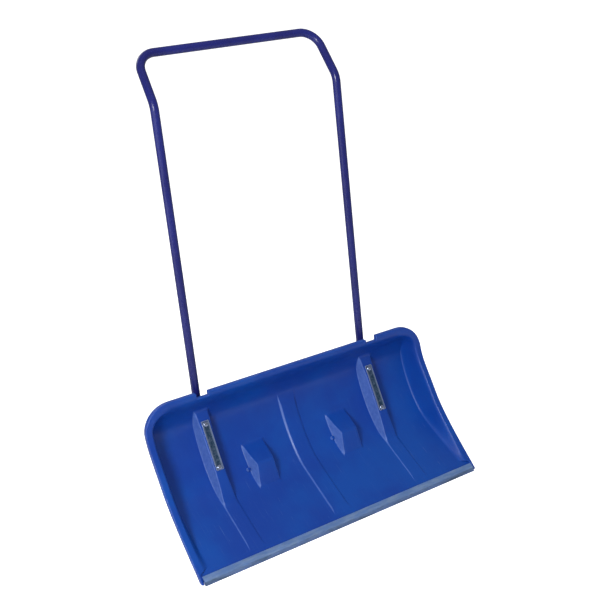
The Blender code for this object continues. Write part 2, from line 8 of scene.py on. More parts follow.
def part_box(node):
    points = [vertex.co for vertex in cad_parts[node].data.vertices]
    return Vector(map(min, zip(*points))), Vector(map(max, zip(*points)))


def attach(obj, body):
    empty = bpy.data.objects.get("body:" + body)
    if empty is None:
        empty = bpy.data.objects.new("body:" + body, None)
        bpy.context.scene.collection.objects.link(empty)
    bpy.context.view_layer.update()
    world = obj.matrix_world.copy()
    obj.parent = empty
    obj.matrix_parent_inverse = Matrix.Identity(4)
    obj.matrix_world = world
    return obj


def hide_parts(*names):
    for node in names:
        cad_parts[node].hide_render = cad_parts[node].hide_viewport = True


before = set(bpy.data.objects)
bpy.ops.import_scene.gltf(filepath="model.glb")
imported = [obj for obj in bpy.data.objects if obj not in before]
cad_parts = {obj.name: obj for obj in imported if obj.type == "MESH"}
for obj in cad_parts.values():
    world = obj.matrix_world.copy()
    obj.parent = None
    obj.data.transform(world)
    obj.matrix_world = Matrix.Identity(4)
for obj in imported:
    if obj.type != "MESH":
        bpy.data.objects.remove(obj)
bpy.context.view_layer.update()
print("frame loaded:", len(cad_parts), "nodes")

# Shapes are made with the handle legs upright, then leaned back onto the wheels.
lean = radians(3.2)
halfDepth = 0.196
standing = Matrix.Translation((0, -halfDepth, 0)) @ Matrix.Rotation(-lean, 4, "X")
sides = (("left", -1), ("right", 1))
bodyName = "frame"


# ---- small maths

def clamp(value, low=0.0, high=1.0):
    return max(low, min(high, value))


def mix(a, b, share):
    return a + (b - a) * share


def smoothStep(low, high, value):
    t = clamp((value - low) / (high - low))
    return t * t * (3 - 2 * t)


def softClamp(t, soft):
    # clamp to 0..1 whose two corners are short curves
    low = max(t, 0) + max(soft - abs(t), 0) ** 2 / (4 * soft)
    return min(low, 1) - max(soft - abs(low - 1), 0) ** 2 / (4 * soft)


def along(points, at):
    # smooth line through (position, value) points
    last = len(points) - 1
    if at <= points[0][0] or at >= points[last][0]:
        first, second = (points[0], points[1]) if at <= points[0][0] else (points[-2], points[-1])
        base = first if at <= points[0][0] else second
        return base[1] + (second[1] - first[1]) / (second[0] - first[0]) * (at - base[0])
    i = max(k for k in range(last) if points[k][0] <= at)
    (x0, y0), (x1, y1) = points[i], points[i + 1]
    before, after = points[max(i - 1, 0)], points[min(i + 2, last)]
    rate0 = (y1 - before[1]) / (x1 - before[0])
    rate1 = (after[1] - y0) / (after[0] - x0)
    t = (at - x0) / (x1 - x0)
    stay = 2 * t ** 3 - 3 * t ** 2 + 1
    bend = (t ** 3 - 2 * t ** 2 + t) * rate0 + (t ** 3 - t ** 2) * rate1
    return stay * y0 + (1 - stay) * y1 + (x1 - x0) * bend


def steps(knots, value):
    # straight lines through (from, to) knots
    for (a0, b0), (a1, b1) in zip(knots, knots[1:]):
        if value <= a1:
            return mix(b0, b1, (value - a0) / (a1 - a0))
    return knots[-1][1]


def frameAt(origin, zAxis):
    zDir = Vector(zAxis).normalized()
    xDir = Vector((1, 0, 0)) if abs(zDir.x) < 0.9 else Vector((0, 1, 0))
    yDir = zDir.cross(xDir).normalized()
    xDir = yDir.cross(zDir)
    return Matrix.Translation(origin) @ Matrix((xDir, yDir, zDir)).transposed().to_4x4()


def filletPath(points, radii, count):
    path = [Vector(points[0])]
    for before, corner, after, radius in zip(points, points[1:], points[2:], radii):
        here = Vector(corner)
        back = (Vector(before) - here).normalized()
        ahead = (Vector(after) - here).normalized()
        half = back.angle(ahead) / 2
        centre = here + (back + ahead).normalized() * (radius / sin(half))
        start = here + back * (radius / tan(half)) - centre
        finish = here + ahead * (radius / tan(half)) - centre
        for i in range(count + 1):
            path.append(centre + start.slerp(finish, i / count).normalized() * radius)
    path.append(Vector(points[-1]))
    return path


# ---- materials

class Paint:
    # short names for the nodes that every finish is made from
    def __init__(self, name, roughness, metallic=0.0, specular=None):
        self.mat = bpy.data.materials.new(name)
        self.mat.use_nodes = True
        self.nodes = self.mat.node_tree.nodes
        self.links = self.mat.node_tree.links
        self.shader = self.nodes["Principled BSDF"]
        self.shader.inputs["Roughness"].default_value = roughness
        self.shader.inputs["Metallic"].default_value = metallic
        if specular is not None:
            self.shader.inputs["Specular IOR Level"].default_value = specular
        self.place = self.nodes.new("ShaderNodeTexCoord").outputs["Object"]

    def link(self, source, target):
        self.links.new(source, target)

    def add(self, kind, values, key, source):
        # one node with its values set and its main input linked
        node = self.nodes.new("ShaderNode" + kind)
        for name, value in values.items():
            node.inputs[name].default_value = value
        self.link(source, node.inputs[key])
        return node

    def stretched(self, scale):
        return self.add("Mapping", {"Scale": scale}, "Vector", self.place).outputs["Vector"]

    def noise(self, scale, detail=3, roughness=0.5, vector=None, distortion=0.0):
        values = {"Scale": scale, "Detail": detail, "Roughness": roughness,
                  "Distortion": distortion}
        return self.add("TexNoise", values, "Vector", vector or self.place).outputs["Fac"]

    def cells(self, scale, output, vector):
        return self.add("TexVoronoi", {"Scale": scale}, "Vector", vector).outputs[output]

    def ramp(self, value, low, high, first=0.0, second=1.0):
        values = {"From Min": low, "From Max": high, "To Min": first, "To Max": second}
        node = self.add("MapRange", values, "Value", value)
        node.interpolation_type = "SMOOTHSTEP"
        return node.outputs["Result"]

    def maths(self, operation, first, second):
        node = self.nodes.new("ShaderNodeMath")
        node.operation = operation
        for socket, value in zip(node.inputs, (first, second)):
            if isinstance(value, (int, float)):
                socket.default_value = value
            else:
                self.link(value, socket)
        return node.outputs["Value"]

    def blend(self, share, first, second):
        node = self.nodes.new("ShaderNodeMix")
        node.data_type = "RGBA"
        self.link(share, node.inputs["Factor"])
        for key, colour in (("A", first), ("B", second)):
            socket = [s for s in node.inputs if s.name == key and s.type == "RGBA"][0]
            if isinstance(colour, tuple):
                socket.default_value = (*colour, 1)
            else:
                self.link(colour, socket)
        return [s for s in node.outputs if s.type == "RGBA"][0]

    def mark(self, name):
        node = self.nodes.new("ShaderNodeAttribute")
        node.attribute_name = name
        return node.outputs["Fac"]

    def colour(self, source):
        self.link(source, self.shader.inputs["Base Color"])

    def rough(self, source):
        self.link(source, self.shader.inputs["Roughness"])

    def bump(self, source, height, strength=1.0, normal=None):
        node = self.add("Bump", {"Distance": height, "Strength": strength}, "Height", source)
        if normal:
            self.link(normal, node.inputs["Normal"])
        self.link(node.outputs["Normal"], self.shader.inputs["Normal"])
        return node.outputs["Normal"]


plasticLook = {
    "deep": (0.003, 0.043, 0.305), "bright": (0.002, 0.062, 0.355),
    # the last colour on the next line is a painted sheen that lightens the left-facing sides of raised
    # shapes
    "scuffed": (0.06, 0.125, 0.4), "edge": (0.045, 0.11, 0.42), "paintedSheen": (0.095, 0.18, 0.5),
    "specular": 0.36, "roughness": 0.4,
}


def bluePlastic():
    p = Paint("mouldedBluePlastic", plasticLook["roughness"], specular=plasticLook["specular"])
    cloud = p.ramp(p.noise(5.5, 4, 0.55), 0.36, 0.66)
    base = p.blend(cloud, plasticLook["deep"], plasticLook["bright"])
    # fine scratches run the way that snow slides over the floor
    lines = p.noise(1.0, 5, 0.62, p.stretched((420, 16, 16)))
    slid = p.maths("MULTIPLY", p.ramp(lines, 0.57, 0.7), p.mark("scuff"))
    patches = p.ramp(p.noise(26, 5, 0.6), 0.5, 0.72)
    rubbed = p.maths("MULTIPLY", slid, p.maths("ADD", p.maths("MULTIPLY", patches, 0.7), 0.12))
    base = p.blend(rubbed, base, plasticLook["scuffed"])
    # painted sheen: left-facing sides of raised shapes are lightened towards lavender, like a glint of
    # light from the left
    sheenShare = p.maths("MULTIPLY", p.mark("sheenFlank"), p.ramp(p.noise(90, 4, 0.6), 0.25, 0.75, 0.55, 0.85))
    base = p.blend(sheenShare, base, plasticLook["paintedSheen"])
    worn = p.maths("MULTIPLY", p.mark("edge"), p.ramp(p.noise(60, 4, 0.6), 0.4, 0.7, 0.15, 0.75))
    p.colour(p.blend(worn, base, plasticLook["edge"]))
    p.rough(p.ramp(p.maths("ADD", p.noise(14, 4, 0.55), p.maths("MULTIPLY", slid, 0.2)),
                   0.3, 0.85, 0.34, 0.54))
    first = p.bump(p.noise(8, 2, 0.4), 0.0009, 0.5)
    second = p.bump(p.noise(1400, 2, 0.5), 0.0001, 0.35, first)
    p.bump(slid, -0.00008, 0.6, second)
    return p.mat


tubeLook = {
    "roughness": 0.3, "specular": 0.32, "coat": 0.1, "coatRough": 0.16,
    "deep": (0.01, 0.012, 0.125), "bright": (0.013, 0.018, 0.165),
    "dust": (0.04, 0.05, 0.19), "scratch": (0.05, 0.06, 0.2),
}


def blueLacquer():
    p = Paint("blueTubeLacquer", tubeLook["roughness"], specular=tubeLook["specular"])
    p.shader.inputs["Coat Weight"].default_value = tubeLook["coat"]
    p.shader.inputs["Coat Roughness"].default_value = tubeLook["coatRough"]
    base = p.blend(p.ramp(p.noise(9, 4, 0.5), 0.35, 0.68), tubeLook["deep"], tubeLook["bright"])
    dust = p.ramp(p.noise(210, 5, 0.7), 0.66, 0.8, 0.0, 0.1)
    base = p.blend(dust, base, tubeLook["dust"])
    lines = p.ramp(p.noise(1.0, 4, 0.6, p.stretched((500, 500, 25))), 0.72, 0.8, 0.0, 0.16)
    p.colour(p.blend(lines, base, tubeLook["scratch"]))
    p.rough(p.ramp(p.noise(30, 4, 0.55), 0.3, 0.75, 0.22, 0.38))
    first = p.bump(p.noise(260, 2, 0.45), 0.00012, 0.5)
    p.bump(lines, -0.00005, 0.5, first)
    return p.mat


# the last two colours of each look darken the plate's middle and lighten its edges
plateLook = {
    "light": (0.27, 0.36, 0.58), "dark": (0.13, 0.2, 0.33), "darkMiddle": (0.05, 0.11, 0.2),
    "lightEdge": (0.46, 0.56, 0.82), "spangle": 1.0, "rough": (0.34, 0.48),
}
boltLook = {
    "light": (0.4, 0.47, 0.64), "dark": (0.2, 0.25, 0.36), "darkMiddle": (0.05, 0.08, 0.12),
    "lightEdge": (0.6, 0.66, 0.82), "spangle": 0.35, "rough": (0.18, 0.34),
}


def zincPlated(name, look):
    # spangle is how strongly the crystals of the hot zinc bath show
    p = Paint(name, 0.34, 1.0)
    flakes = p.cells(330, "Color", vector=p.stretched((1, 1, 0.8)))
    grain = p.ramp(flakes, 0.15, 0.95, 0.0, 0.55 * look["spangle"])
    base = p.blend(grain, look["light"], look["dark"])
    # darker, mottled towards the middle of the plate
    darkMiddle = p.ramp(p.noise(150, 5, 0.62, distortion=0.8), 0.3, 0.6, 0.35, look["spangle"])
    middle = p.maths("MULTIPLY", darkMiddle, p.mark("middle"))
    base = p.blend(middle, base, look["darkMiddle"])
    # lighter along the edges of the plate
    p.colour(p.blend(p.maths("MULTIPLY", p.mark("edge"), 0.8), base, look["lightEdge"]))
    p.rough(p.ramp(p.noise(240, 4, 0.6), 0.3, 0.75, *look["rough"]))
    p.bump(p.noise(300, 3, 0.5), 0.00004, 0.4)
    return p.mat


# the last two colours are a darker copy for the lower band, which paints shade under the lit upper
# band
stripLook = {
    "steel": (0.29, 0.49, 0.94), "bright": (0.43, 0.63, 1.00), "nose": (0.155, 0.235, 0.47),
    "shadedDark": (0.08, 0.12, 0.19),
}


def stripSteel():
    p = Paint("wearStripSteel", 0.38, 1.0)
    blotch = p.ramp(p.noise(1.0, 5, 0.62, p.stretched((26, 120, 120))), 0.36, 0.66)
    base = p.blend(blotch, stripLook["steel"], stripLook["bright"])
    # painted shade: the lower band takes the darker copy of the steel
    low = p.blend(p.ramp(p.noise(1.0, 5, 0.62, p.stretched((20, 90, 90))), 0.42, 0.7),
                  stripLook["nose"], stripLook["shadedDark"])
    p.colour(p.blend(p.mark("lower"), base, low))
    scrape = p.noise(1.0, 4, 0.6, p.stretched((7, 900, 900)))
    p.rough(p.ramp(p.noise(70, 4, 0.6), 0.3, 0.75, 0.42, 0.6))
    first = p.bump(scrape, 0.00006, 0.6)
    p.bump(p.noise(190, 4, 0.6), 0.0001, 0.5, first)
    return p.mat


rubberLook = {
    "deep": (0.012, 0.012, 0.013), "worn": (0.03, 0.03, 0.032), "dust": (0.085, 0.082, 0.078),
}


def tyreRubber():
    p = Paint("tyreRubber", 0.78, specular=0.35)
    base = p.blend(p.ramp(p.noise(40, 4, 0.6), 0.35, 0.7), rubberLook["deep"], rubberLook["worn"])
    dusty = p.ramp(p.noise(150, 5, 0.68), 0.52, 0.74, 0.0, 0.45)
    p.colour(p.blend(dusty, base, rubberLook["dust"]))
    p.rough(p.ramp(p.noise(90, 4, 0.6), 0.3, 0.75, 0.66, 0.9))
    p.bump(p.noise(700, 3, 0.6), 0.00014, 0.6)
    return p.mat


greyLook = {
    "deep": (0.055, 0.059, 0.066), "pale": (0.088, 0.094, 0.104), "speck": (0.2, 0.21, 0.22),
}


def greyPlastic():
    p = Paint("greyMouldedPlastic", 0.46, specular=0.4)
    base = p.blend(p.ramp(p.noise(18, 4, 0.55), 0.34, 0.68), greyLook["deep"], greyLook["pale"])
    specks = p.ramp(p.noise(260, 4, 0.66), 0.64, 0.78, 0.0, 0.35)
    p.colour(p.blend(specks, base, greyLook["speck"]))
    p.rough(p.ramp(p.noise(36, 4, 0.55), 0.3, 0.75, 0.38, 0.56))
    p.bump(p.noise(1100, 2, 0.5), 0.0001, 0.45)
    return p.mat


nylonLook = {"deep": (0.62, 0.61, 0.56), "pale": (0.74, 0.73, 0.69), "subsurface": 0.15}


def whiteNylon():
    p = Paint("whiteNylon", 0.42)
    p.shader.inputs["Subsurface Weight"].default_value = nylonLook["subsurface"]
    cloud = p.ramp(p.noise(55, 4, 0.55), 0.35, 0.7)
    p.colour(p.blend(cloud, nylonLook["deep"], nylonLook["pale"]))
    p.rough(p.ramp(p.noise(90, 3, 0.5), 0.3, 0.7, 0.36, 0.52))
    p.bump(p.noise(900, 2, 0.5), 0.00006, 0.5)
    return p.mat


finishes = {
    "blade_plastic": bluePlastic(), "tube_paint": blueLacquer(),
    "zinc_steel": zincPlated("galvanisedSteel", plateLook), "strip_steel": stripSteel(),
    "tyre_rubber": tyreRubber(), "grey_plastic": greyPlastic(), "nylon": whiteNylon(),
}
boltZinc = zincPlated("brightPlatedSteel", boltLook)
print("finishes ready:", len(finishes) + 1)


# ---- pieces

def newObject(name, data):
    obj = bpy.data.objects.new(name, data)
    bpy.context.scene.collection.objects.link(obj)
    return obj


def addPiece(name, mesh, slot, replaced, body=bodyName, sharp=35, finish=None):
    obj = newObject(name, mesh)
    mesh.materials.clear()
    mesh.materials.append(finish or finishes[slot])
    mesh.shade_smooth()
    mesh.set_sharp_from_angle(angle=radians(sharp))
    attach(obj, body)
    if replaced:
        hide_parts(*replaced)
    return obj


def markVerts(mesh, name, rule):
    layer = mesh.attributes.new(name, "FLOAT", "POINT")
    for vert in mesh.vertices:
        layer.data[vert.index].value = rule(vert.co)


def curveMesh(name, curve, matrix):
    # mesh of a filled or bevelled curve, welded into one closed skin
    source = newObject(name, curve)
    bpy.context.view_layer.update()
    graph = bpy.context.evaluated_depsgraph_get()
    mesh = bpy.data.meshes.new_from_object(source.evaluated_get(graph))
    bpy.data.objects.remove(source, do_unlink=True)
    mesh.name = name
    weld(mesh, 0.00001)
    mesh.transform(matrix)
    return mesh


def addSpline(curve, points, cyclic):
    spline = curve.splines.new("POLY")
    spline.points.add(len(points) - 1)
    for point, place in zip(spline.points, points):
        point.co = (*place, 1)
    spline.use_cyclic_u = cyclic


def flatMesh(name, loops, thickness, soft, matrix):
    # filled outline with holes, made thick and softened along its edges
    curve = bpy.data.curves.new(name, "CURVE")
    curve.dimensions = "2D"
    curve.fill_mode = "BOTH"
    curve.bevel_depth = soft
    curve.bevel_resolution = 2
    curve.offset = -soft
    curve.extrude = thickness / 2 - soft
    for loop in loops:
        addSpline(curve, [(x, y, 0) for x, y in loop], True)
    return curveMesh(name, curve, matrix)


def weld(mesh, distance):
    bm = bmesh.new()
    bm.from_mesh(mesh)
    bmesh.ops.remove_doubles(bm, verts=bm.verts, dist=distance)
    bmesh.ops.recalc_face_normals(bm, faces=bm.faces)
    bm.to_mesh(mesh)
    bm.free()


def joined(name, meshes):
    bm = bmesh.new()
    for mesh in meshes:
        bm.from_mesh(mesh)
        bpy.data.meshes.remove(mesh)
    whole = bpy.data.meshes.new(name)
    bm.to_mesh(whole)
    bm.free()
    return whole


def finishMesh(name, bm, matrix):
    bmesh.ops.recalc_face_normals(bm, faces=bm.faces)
    mesh = bpy.data.meshes.new(name)
    bm.to_mesh(mesh)
    bm.free()
    mesh.transform(matrix)
    return mesh


def bridge(bm, rings, cyclic=False):
    # skin between rings that have the same number of points
    pairs = list(zip(rings, rings[1:])) + ([(rings[-1], rings[0])] if cyclic else [])
    for first, second in pairs:
        for i, here in enumerate(first):
            j = (i + 1) % len(first)
            bm.faces.new((here, first[j], second[j], second[i]))


def circle(x, y, radius, count):
    turns = [2 * pi * i / count for i in range(count)]
    return [(x + radius * cos(turn), y + radius * sin(turn)) for turn in turns]


def turnedMesh(name, profile, matrix, count=48, closed=False):
    # solid of revolution about local Z; the profile holds (radius, height) pairs
    bm = bmesh.new()
    rings = []
    for radius, height in profile:
        places = circle(0, 0, radius, count if radius > 0 else 1)
        rings.append([bm.verts.new((x, y, height)) for x, y in places])
    pairs = list(zip(rings, rings[1:]))
    if closed:
        pairs.append((rings[-1], rings[0]))
    for upper, lower in pairs:
        for i in range(count):
            j = (i + 1) % count
            corners = [upper[i % len(upper)], upper[j % len(upper)]]
            corners += [lower[j % len(lower)], lower[i % len(lower)]]
            bm.faces.new([v for k, v in enumerate(corners) if v not in corners[:k]])
    return finishMesh(name, bm, matrix)


def arc(centreR, centreZ, radius, fromDegrees, toDegrees, count):
    found = []
    for i in range(count + 1):
        angle = radians(mix(fromDegrees, toDegrees, i / count))
        found.append((centreR + radius * cos(angle), centreZ + radius * sin(angle)))
    return found


# ---- blade

blade = {
    "halfWidth": 0.3985, "skin": 0.0035, "edgeLow": 0.0128, "tipDrop": (0.0062, 0.0083),
    "topMiddle": 0.3572, "topEnds": 0.36, "topNotch": 0.3468, "bandLow": 0.3425,
    "notch": (0.228, 0.26), "notchStep": 0.0008, "skirtDepth": 0.012, "edgeRound": 0.0025,
    "cornerX": 0.331, "cornerZ": 0.293, "cornerR": 0.0675,
    "rimBand": 0.0175, "wallFoot": 0.031, "lowBand": 0.0058, "lowFoot": 0.0068,
    "lowFrom": 0.019, "lowTo": 0.027, "draft": 0.19, "sideRun": 0.0042,
    "rowPitch": 0.0022, "creaseSoft": 0.0022, "wallSoft": 0.0036, "foldSoft": 0.0032,
    "plainColumns": (0.058, 0.187, 0.29, 0.31), "bandShares": (0.0, 0.25, 0.5, 0.75),
    "leastSide": 0.0006, "tipFade": 0.023, "notchFrom": 0.306, "notchTo": 0.316,
}
panLine = [(0.0128, 0.01), (0.09, 0.136), (0.116, 0.172), (0.152, 0.2005),
           (0.186, 0.22), (0.222, 0.235), (0.254, 0.244), (0.272, 0.245),
           (0.29, 0.2395), (0.31, 0.2285), (0.3425, 0.203), (0.364, 0.2005)]
rimLine = [(0.0128, 0.0085), (0.035, 0.0305), (0.1, 0.089), (0.154, 0.13),
           (0.204, 0.1575), (0.255, 0.1846), (0.28, 0.1935), (0.31, 0.1985),
           (0.364, 0.2005)]
ridge = {
    "half": 0.024, "rise": 0.004, "top": 0.272, "low": 0.024, "highFade": 0.03,
    "lowFade": 0.01,
}
boss = {
    "x": 0.24, "half": 0.02, "top": (0.236, 0.308), "slope": radians(24.5),
    "ribRise": 0.0032, "soft": 0.0085,
}
tent = {"x": 0.1235, "half": 0.031, "top": 0.1852, "peak": (0.16, 0.1535), "low": 0.097}
downBoss = Vector((0, -sin(boss["slope"]), -cos(boss["slope"])))
outOfBoss = Vector((0, -cos(boss["slope"]), sin(boss["slope"])))


def onBoss(side, place, out=0.0):
    return Vector((side * boss["x"], *boss["top"])) + downBoss * place + outOfBoss * out


def ribFade(z):
    high = clamp((ridge["top"] - z) / ridge["highFade"])
    return high * clamp((z - ridge["low"]) / ridge["lowFade"])


def riseOfRidge(z):
    return ridge["rise"] * ribFade(z)


def riseOfBoss(z):
    face = boss["top"][0] - (boss["top"][1] - z) * tan(boss["slope"])
    rise = max(along(panLine, z) - face, boss["ribRise"] * ribFade(z))
    return rise if z < boss["top"][1] else 0.0


def riseOfTent(z):
    if not tent["low"] < z < tent["top"]:
        return 0.0
    end = tent["top"] if z > tent["peak"][1] else tent["low"]
    share = (z - end) / (tent["peak"][1] - end)
    edge = along(panLine, end)
    return max(along(panLine, z) - mix(edge, tent["peak"][0], share), 0.0)


def softened(rise, z, soft=None):
    # average over a short height, which rounds the folds of a raised shape
    shares = (0.04, 0.09, 0.15, 0.22, 0.22, 0.15, 0.09, 0.04)
    reach = soft or blade["foldSoft"]
    return sum(s * rise(z + reach * (i - 3.5) / 3.5) for i, s in enumerate(shares))


def raisedShape(middle, half, rise, inner):
    side = max(blade["draft"] * rise, min(rise, blade["sideRun"]), blade["leastSide"])
    inward = 0.9 * inner
    foot, crest = half - inward, half - side - inward
    heights = [(-foot, 0), (-crest, rise), (crest, rise), (foot, 0)]
    return [(middle + across, up) for across, up in heights]


def filletRow(points, soft, count):
    # each inner corner of the row becomes a short curve of count + 1 points
    found = [points[0]]
    for before, here, after in zip(points, points[1:], points[2:]):
        back = Vector(before) - Vector(here)
        ahead = Vector(after) - Vector(here)
        a = Vector(here) + back.normalized() * min(soft, 0.45 * back.length)
        b = Vector(here) + ahead.normalized() * min(soft, 0.45 * ahead.length)
        for i in range(count + 1):
            t = i / count
            found.append(tuple(a * (1 - t) ** 2 + Vector(here) * (2 * t * (1 - t)) + b * t * t))
    found.append(points[-1])
    return found


# mesh lines of the side rims, counted in from the outline
rimInsets = [0.0675, 0.056, 0.046, 0.04, 0.037, 0.035, 0.033, 0.031, 0.029, 0.027, 0.0245,
             0.0222, 0.0202, 0.0188, 0.0175, 0.016, 0.0145, 0.0128, 0.0105, 0.008, 0.0055, 0.0038]
arcSteps, skirtSteps = 4, 3


def rimPlaces(z, inner):
    # where the wall's foot and the rim's crest are, counted in from the outline
    low = smoothStep(blade["lowFrom"], blade["lowTo"], z)
    edge = inner + max(blade["edgeRound"] - inner, 0.0004)
    band = max(mix(blade["lowBand"], blade["rimBand"], low) - 0.9 * inner, edge + 0.0005)
    foot = max(mix(blade["lowFoot"], blade["wallFoot"], low) - 0.9 * inner, band + 0.0005)
    return edge, band, foot


def frontDepth(z, inset, rise, places):
    band, foot = places[1:]
    pan, rim = along(panLine, z), along(rimLine, z)
    share = softClamp((foot - inset) / (foot - band), blade["wallSoft"] / (foot - band))
    return pan + (min(rim, pan) - pan) * share - rise


def floorRow(z, inner):
    # (x, rise) across one half of the blade at height z, out to the end of the flat floor
    first, second, third, fourth = blade["plainColumns"]
    shapes = [(0, softened(riseOfRidge, z))]
    shapes += raisedShape(0, ridge["half"], softened(riseOfRidge, z), inner)[2:] + [(first, 0)]
    shapes += raisedShape(tent["x"], tent["half"], softened(riseOfTent, z), inner)
    shapes += [(second, 0)]
    own = raisedShape(boss["x"], boss["half"], softened(riseOfBoss, z, boss["soft"]), inner)
    low, high = blade["notch"]
    cut = [low - blade["notchStep"], low, high, high + blade["notchStep"]]
    share = smoothStep(blade["notchFrom"], blade["notchTo"], z)
    shapes += [(mix(x, to, share), rise) for (x, rise), to in zip(own, cut)]
    shapes += [(third, 0), (fourth, 0)]
    return filletRow(shapes, blade["creaseSoft"], 4)


def topEdge(x):
    low, high = blade["notch"]
    step = blade["notchStep"]
    into = smoothStep(low - step, low, abs(x)) * (1 - smoothStep(high, high + step, abs(x)))
    plain = blade["topMiddle"] if abs(x) < boss["x"] else blade["topEnds"]
    return mix(plain, blade["topNotch"], into)


def roundCorner(x, z):
    # square corner of the grid pressed into the quarter circle of the outline
    a = (abs(x) - blade["cornerX"]) / blade["cornerR"]
    b = (z - blade["cornerZ"]) / (blade["topEnds"] - blade["cornerZ"])
    if a <= 0 or b <= 0:
        return x, z, blade["halfWidth"] - abs(x)
    reach = max(a, b)
    turn = pi / 4 * (b / a if a >= b else 2 - a / b)
    newX = blade["cornerX"] + blade["cornerR"] * reach * cos(turn)
    newZ = blade["cornerZ"] + (blade["topEnds"] - blade["cornerZ"]) * reach * sin(turn)
    return copysign(newX, x), newZ, (1 - reach) * blade["cornerR"]


def edgeCurve(inner):
    # (inset, push back, share of the skirt) over the rounded edge and down the skirt
    radius = max(blade["edgeRound"] - inner, 0.0004)
    found = []
    for i in range(arcSteps + 1):
        angle = pi / 2 * i / arcSteps
        found.append((inner + radius * (1 - sin(angle)), radius * (1 - cos(angle)), 0.0))
    for i in range(1, skirtSteps + 1):
        found.append((inner, radius, i / skirtSteps))
    return found


def bladeRows():
    # (height, share of the way to the top edge, step over the rounded edge)
    found, z = [], blade["edgeLow"]
    while z < blade["bandLow"] - 0.001:
        found.append((z, 0.0, 0))
        z += blade["rowPitch"]
    found += [(blade["bandLow"], share, 0) for share in blade["bandShares"]]
    return found + [(blade["bandLow"], 1.0, i) for i in range(arcSteps + 1 + skirtSteps)]


def bladePoint(x, z, rise, sideEdge, topEdgeRow, bandShare, places, inner):
    height = mix(z, topEdge(x) - topEdgeRow[0], bandShare)
    push, skirt = max(sideEdge[1], topEdgeRow[1]), max(sideEdge[2], topEdgeRow[2])
    newX, newZ, inset = roundCorner(x, height)
    depth = frontDepth(newZ, inset, rise, places)
    probe = 0.0008
    ahead = frontDepth(newZ + probe, inset, rise, places)
    slope = (ahead - frontDepth(newZ - probe, inset, rise, places)) / (2 * probe)
    length = sqrt(1 + slope * slope)
    upward = -inner * slope / length * (1 - bandShare)
    back = mix(depth + inner / length + push, depth + blade["skirtDepth"], skirt)
    tip = smoothStep(-blade["lowFoot"], -blade["lowBand"], -inset)
    tip *= 1 - smoothStep(blade["edgeLow"], blade["tipFade"], z)
    dropY, dropZ = blade["tipDrop"]
    return Vector((newX, back - dropY * tip, newZ + upward - dropZ * tip))


def bladeSurface(inner):
    # rows of points over the whole blade: the front for inner 0, the back for inner = skin
    surface = []
    edges = edgeCurve(inner)
    flat = (0, 0.0, 0.0)
    for z, bandShare, edgeIndex in bladeRows():
        places = rimPlaces(z, inner)
        inside = (rimInsets[-1], blade["rimBand"], blade["wallFoot"], rimInsets[0])
        knots = list(zip(inside, (*places, rimInsets[0])))
        columns = [(x, rise, flat) for x, rise in floorRow(z, inner)]
        columns += [(blade["halfWidth"] - steps(knots, i), 0, flat) for i in rimInsets[:-1]]
        columns += [(blade["halfWidth"] - edge[0], 0, edge) for edge in edges]
        row = [bladePoint(x, z, rise, side, edges[edgeIndex], bandShare, places, inner)
               for x, rise, side in columns]
        surface.append([Vector((-p.x, p.y, p.z)) for p in reversed(row[1:])] + row)
    return surface


def sheetMesh(name, front, back):
    rows, columns = len(front), len(front[0])
    points = [tuple(p) for surface in (front, back) for row in surface for p in row]

    def at(place, side):
        return side * rows * columns + place[0] * columns + place[1]

    faces = []
    for r in range(rows - 1):
        for c in range(columns - 1):
            quad = [(r, c), (r, c + 1), (r + 1, c + 1), (r + 1, c)]
            faces.append([at(place, 0) for place in quad])
            faces.append([at(place, 1) for place in reversed(quad)])
    border = [(0, c) for c in range(columns)] + [(r, columns - 1) for r in range(1, rows)]
    border += [(rows - 1, c) for c in range(columns - 2, -1, -1)]
    border += [(r, 0) for r in range(rows - 2, 0, -1)]
    for here, ahead in zip(border, border[1:] + border[:1]):
        faces.append([at(here, 0), at(here, 1), at(ahead, 1), at(ahead, 0)])
    mesh = bpy.data.meshes.new(name)
    mesh.from_pydata(points, [], faces)
    mesh.validate()
    weld(mesh, 0.000002)
    return mesh


cheek = {
    "in": 0.027, "out": 0.031, "bossR": 0.016, "low": 0.085, "high": 0.208,
    "holeR": 0.0054, "soft": 0.0007, "from": 30, "to": -100, "rootSteps": 16, "arcSteps": 18,
}
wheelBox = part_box("right_wheel_core")
wheelCentre = standing.inverted() @ ((wheelBox[0] + wheelBox[1]) / 2)


def skinPoint(height, depth):
    ahead = along(panLine, height + 0.0005) - along(panLine, height - 0.0005)
    normal = Vector((0.001, -ahead)).normalized()
    return Vector((along(panLine, height), height)) + normal * depth


def cheekMesh(name, low, high):
    # side plate of the wheel pocket, rounded about the axle and pierced for it
    c = cheek
    outline = [tuple(skinPoint(mix(c["low"], c["high"], i / c["rootSteps"]), blade["skin"] / 2))
               for i in range(c["rootSteps"] + 1)]
    outline += arc(wheelCentre.y, wheelCentre.z, c["bossR"], c["from"], c["to"], c["arcSteps"])
    hole = circle(wheelCentre.y, wheelCentre.z, c["holeR"], 36)
    turn = Matrix(((0, 0, 1), (1, 0, 0), (0, 1, 0))).to_4x4()
    place = Matrix.Translation(((low + high) / 2, 0, 0)) @ turn
    return flatMesh(name, (outline, hole), high - low, c["soft"], place)


nub = {
    "x": -0.035, "z": 0.133, "radius": 0.0052, "rise": 0.0058, "crown": 0.62, "round": 0.001,
    "flare": 0.001, "sink": 0.0006,
}


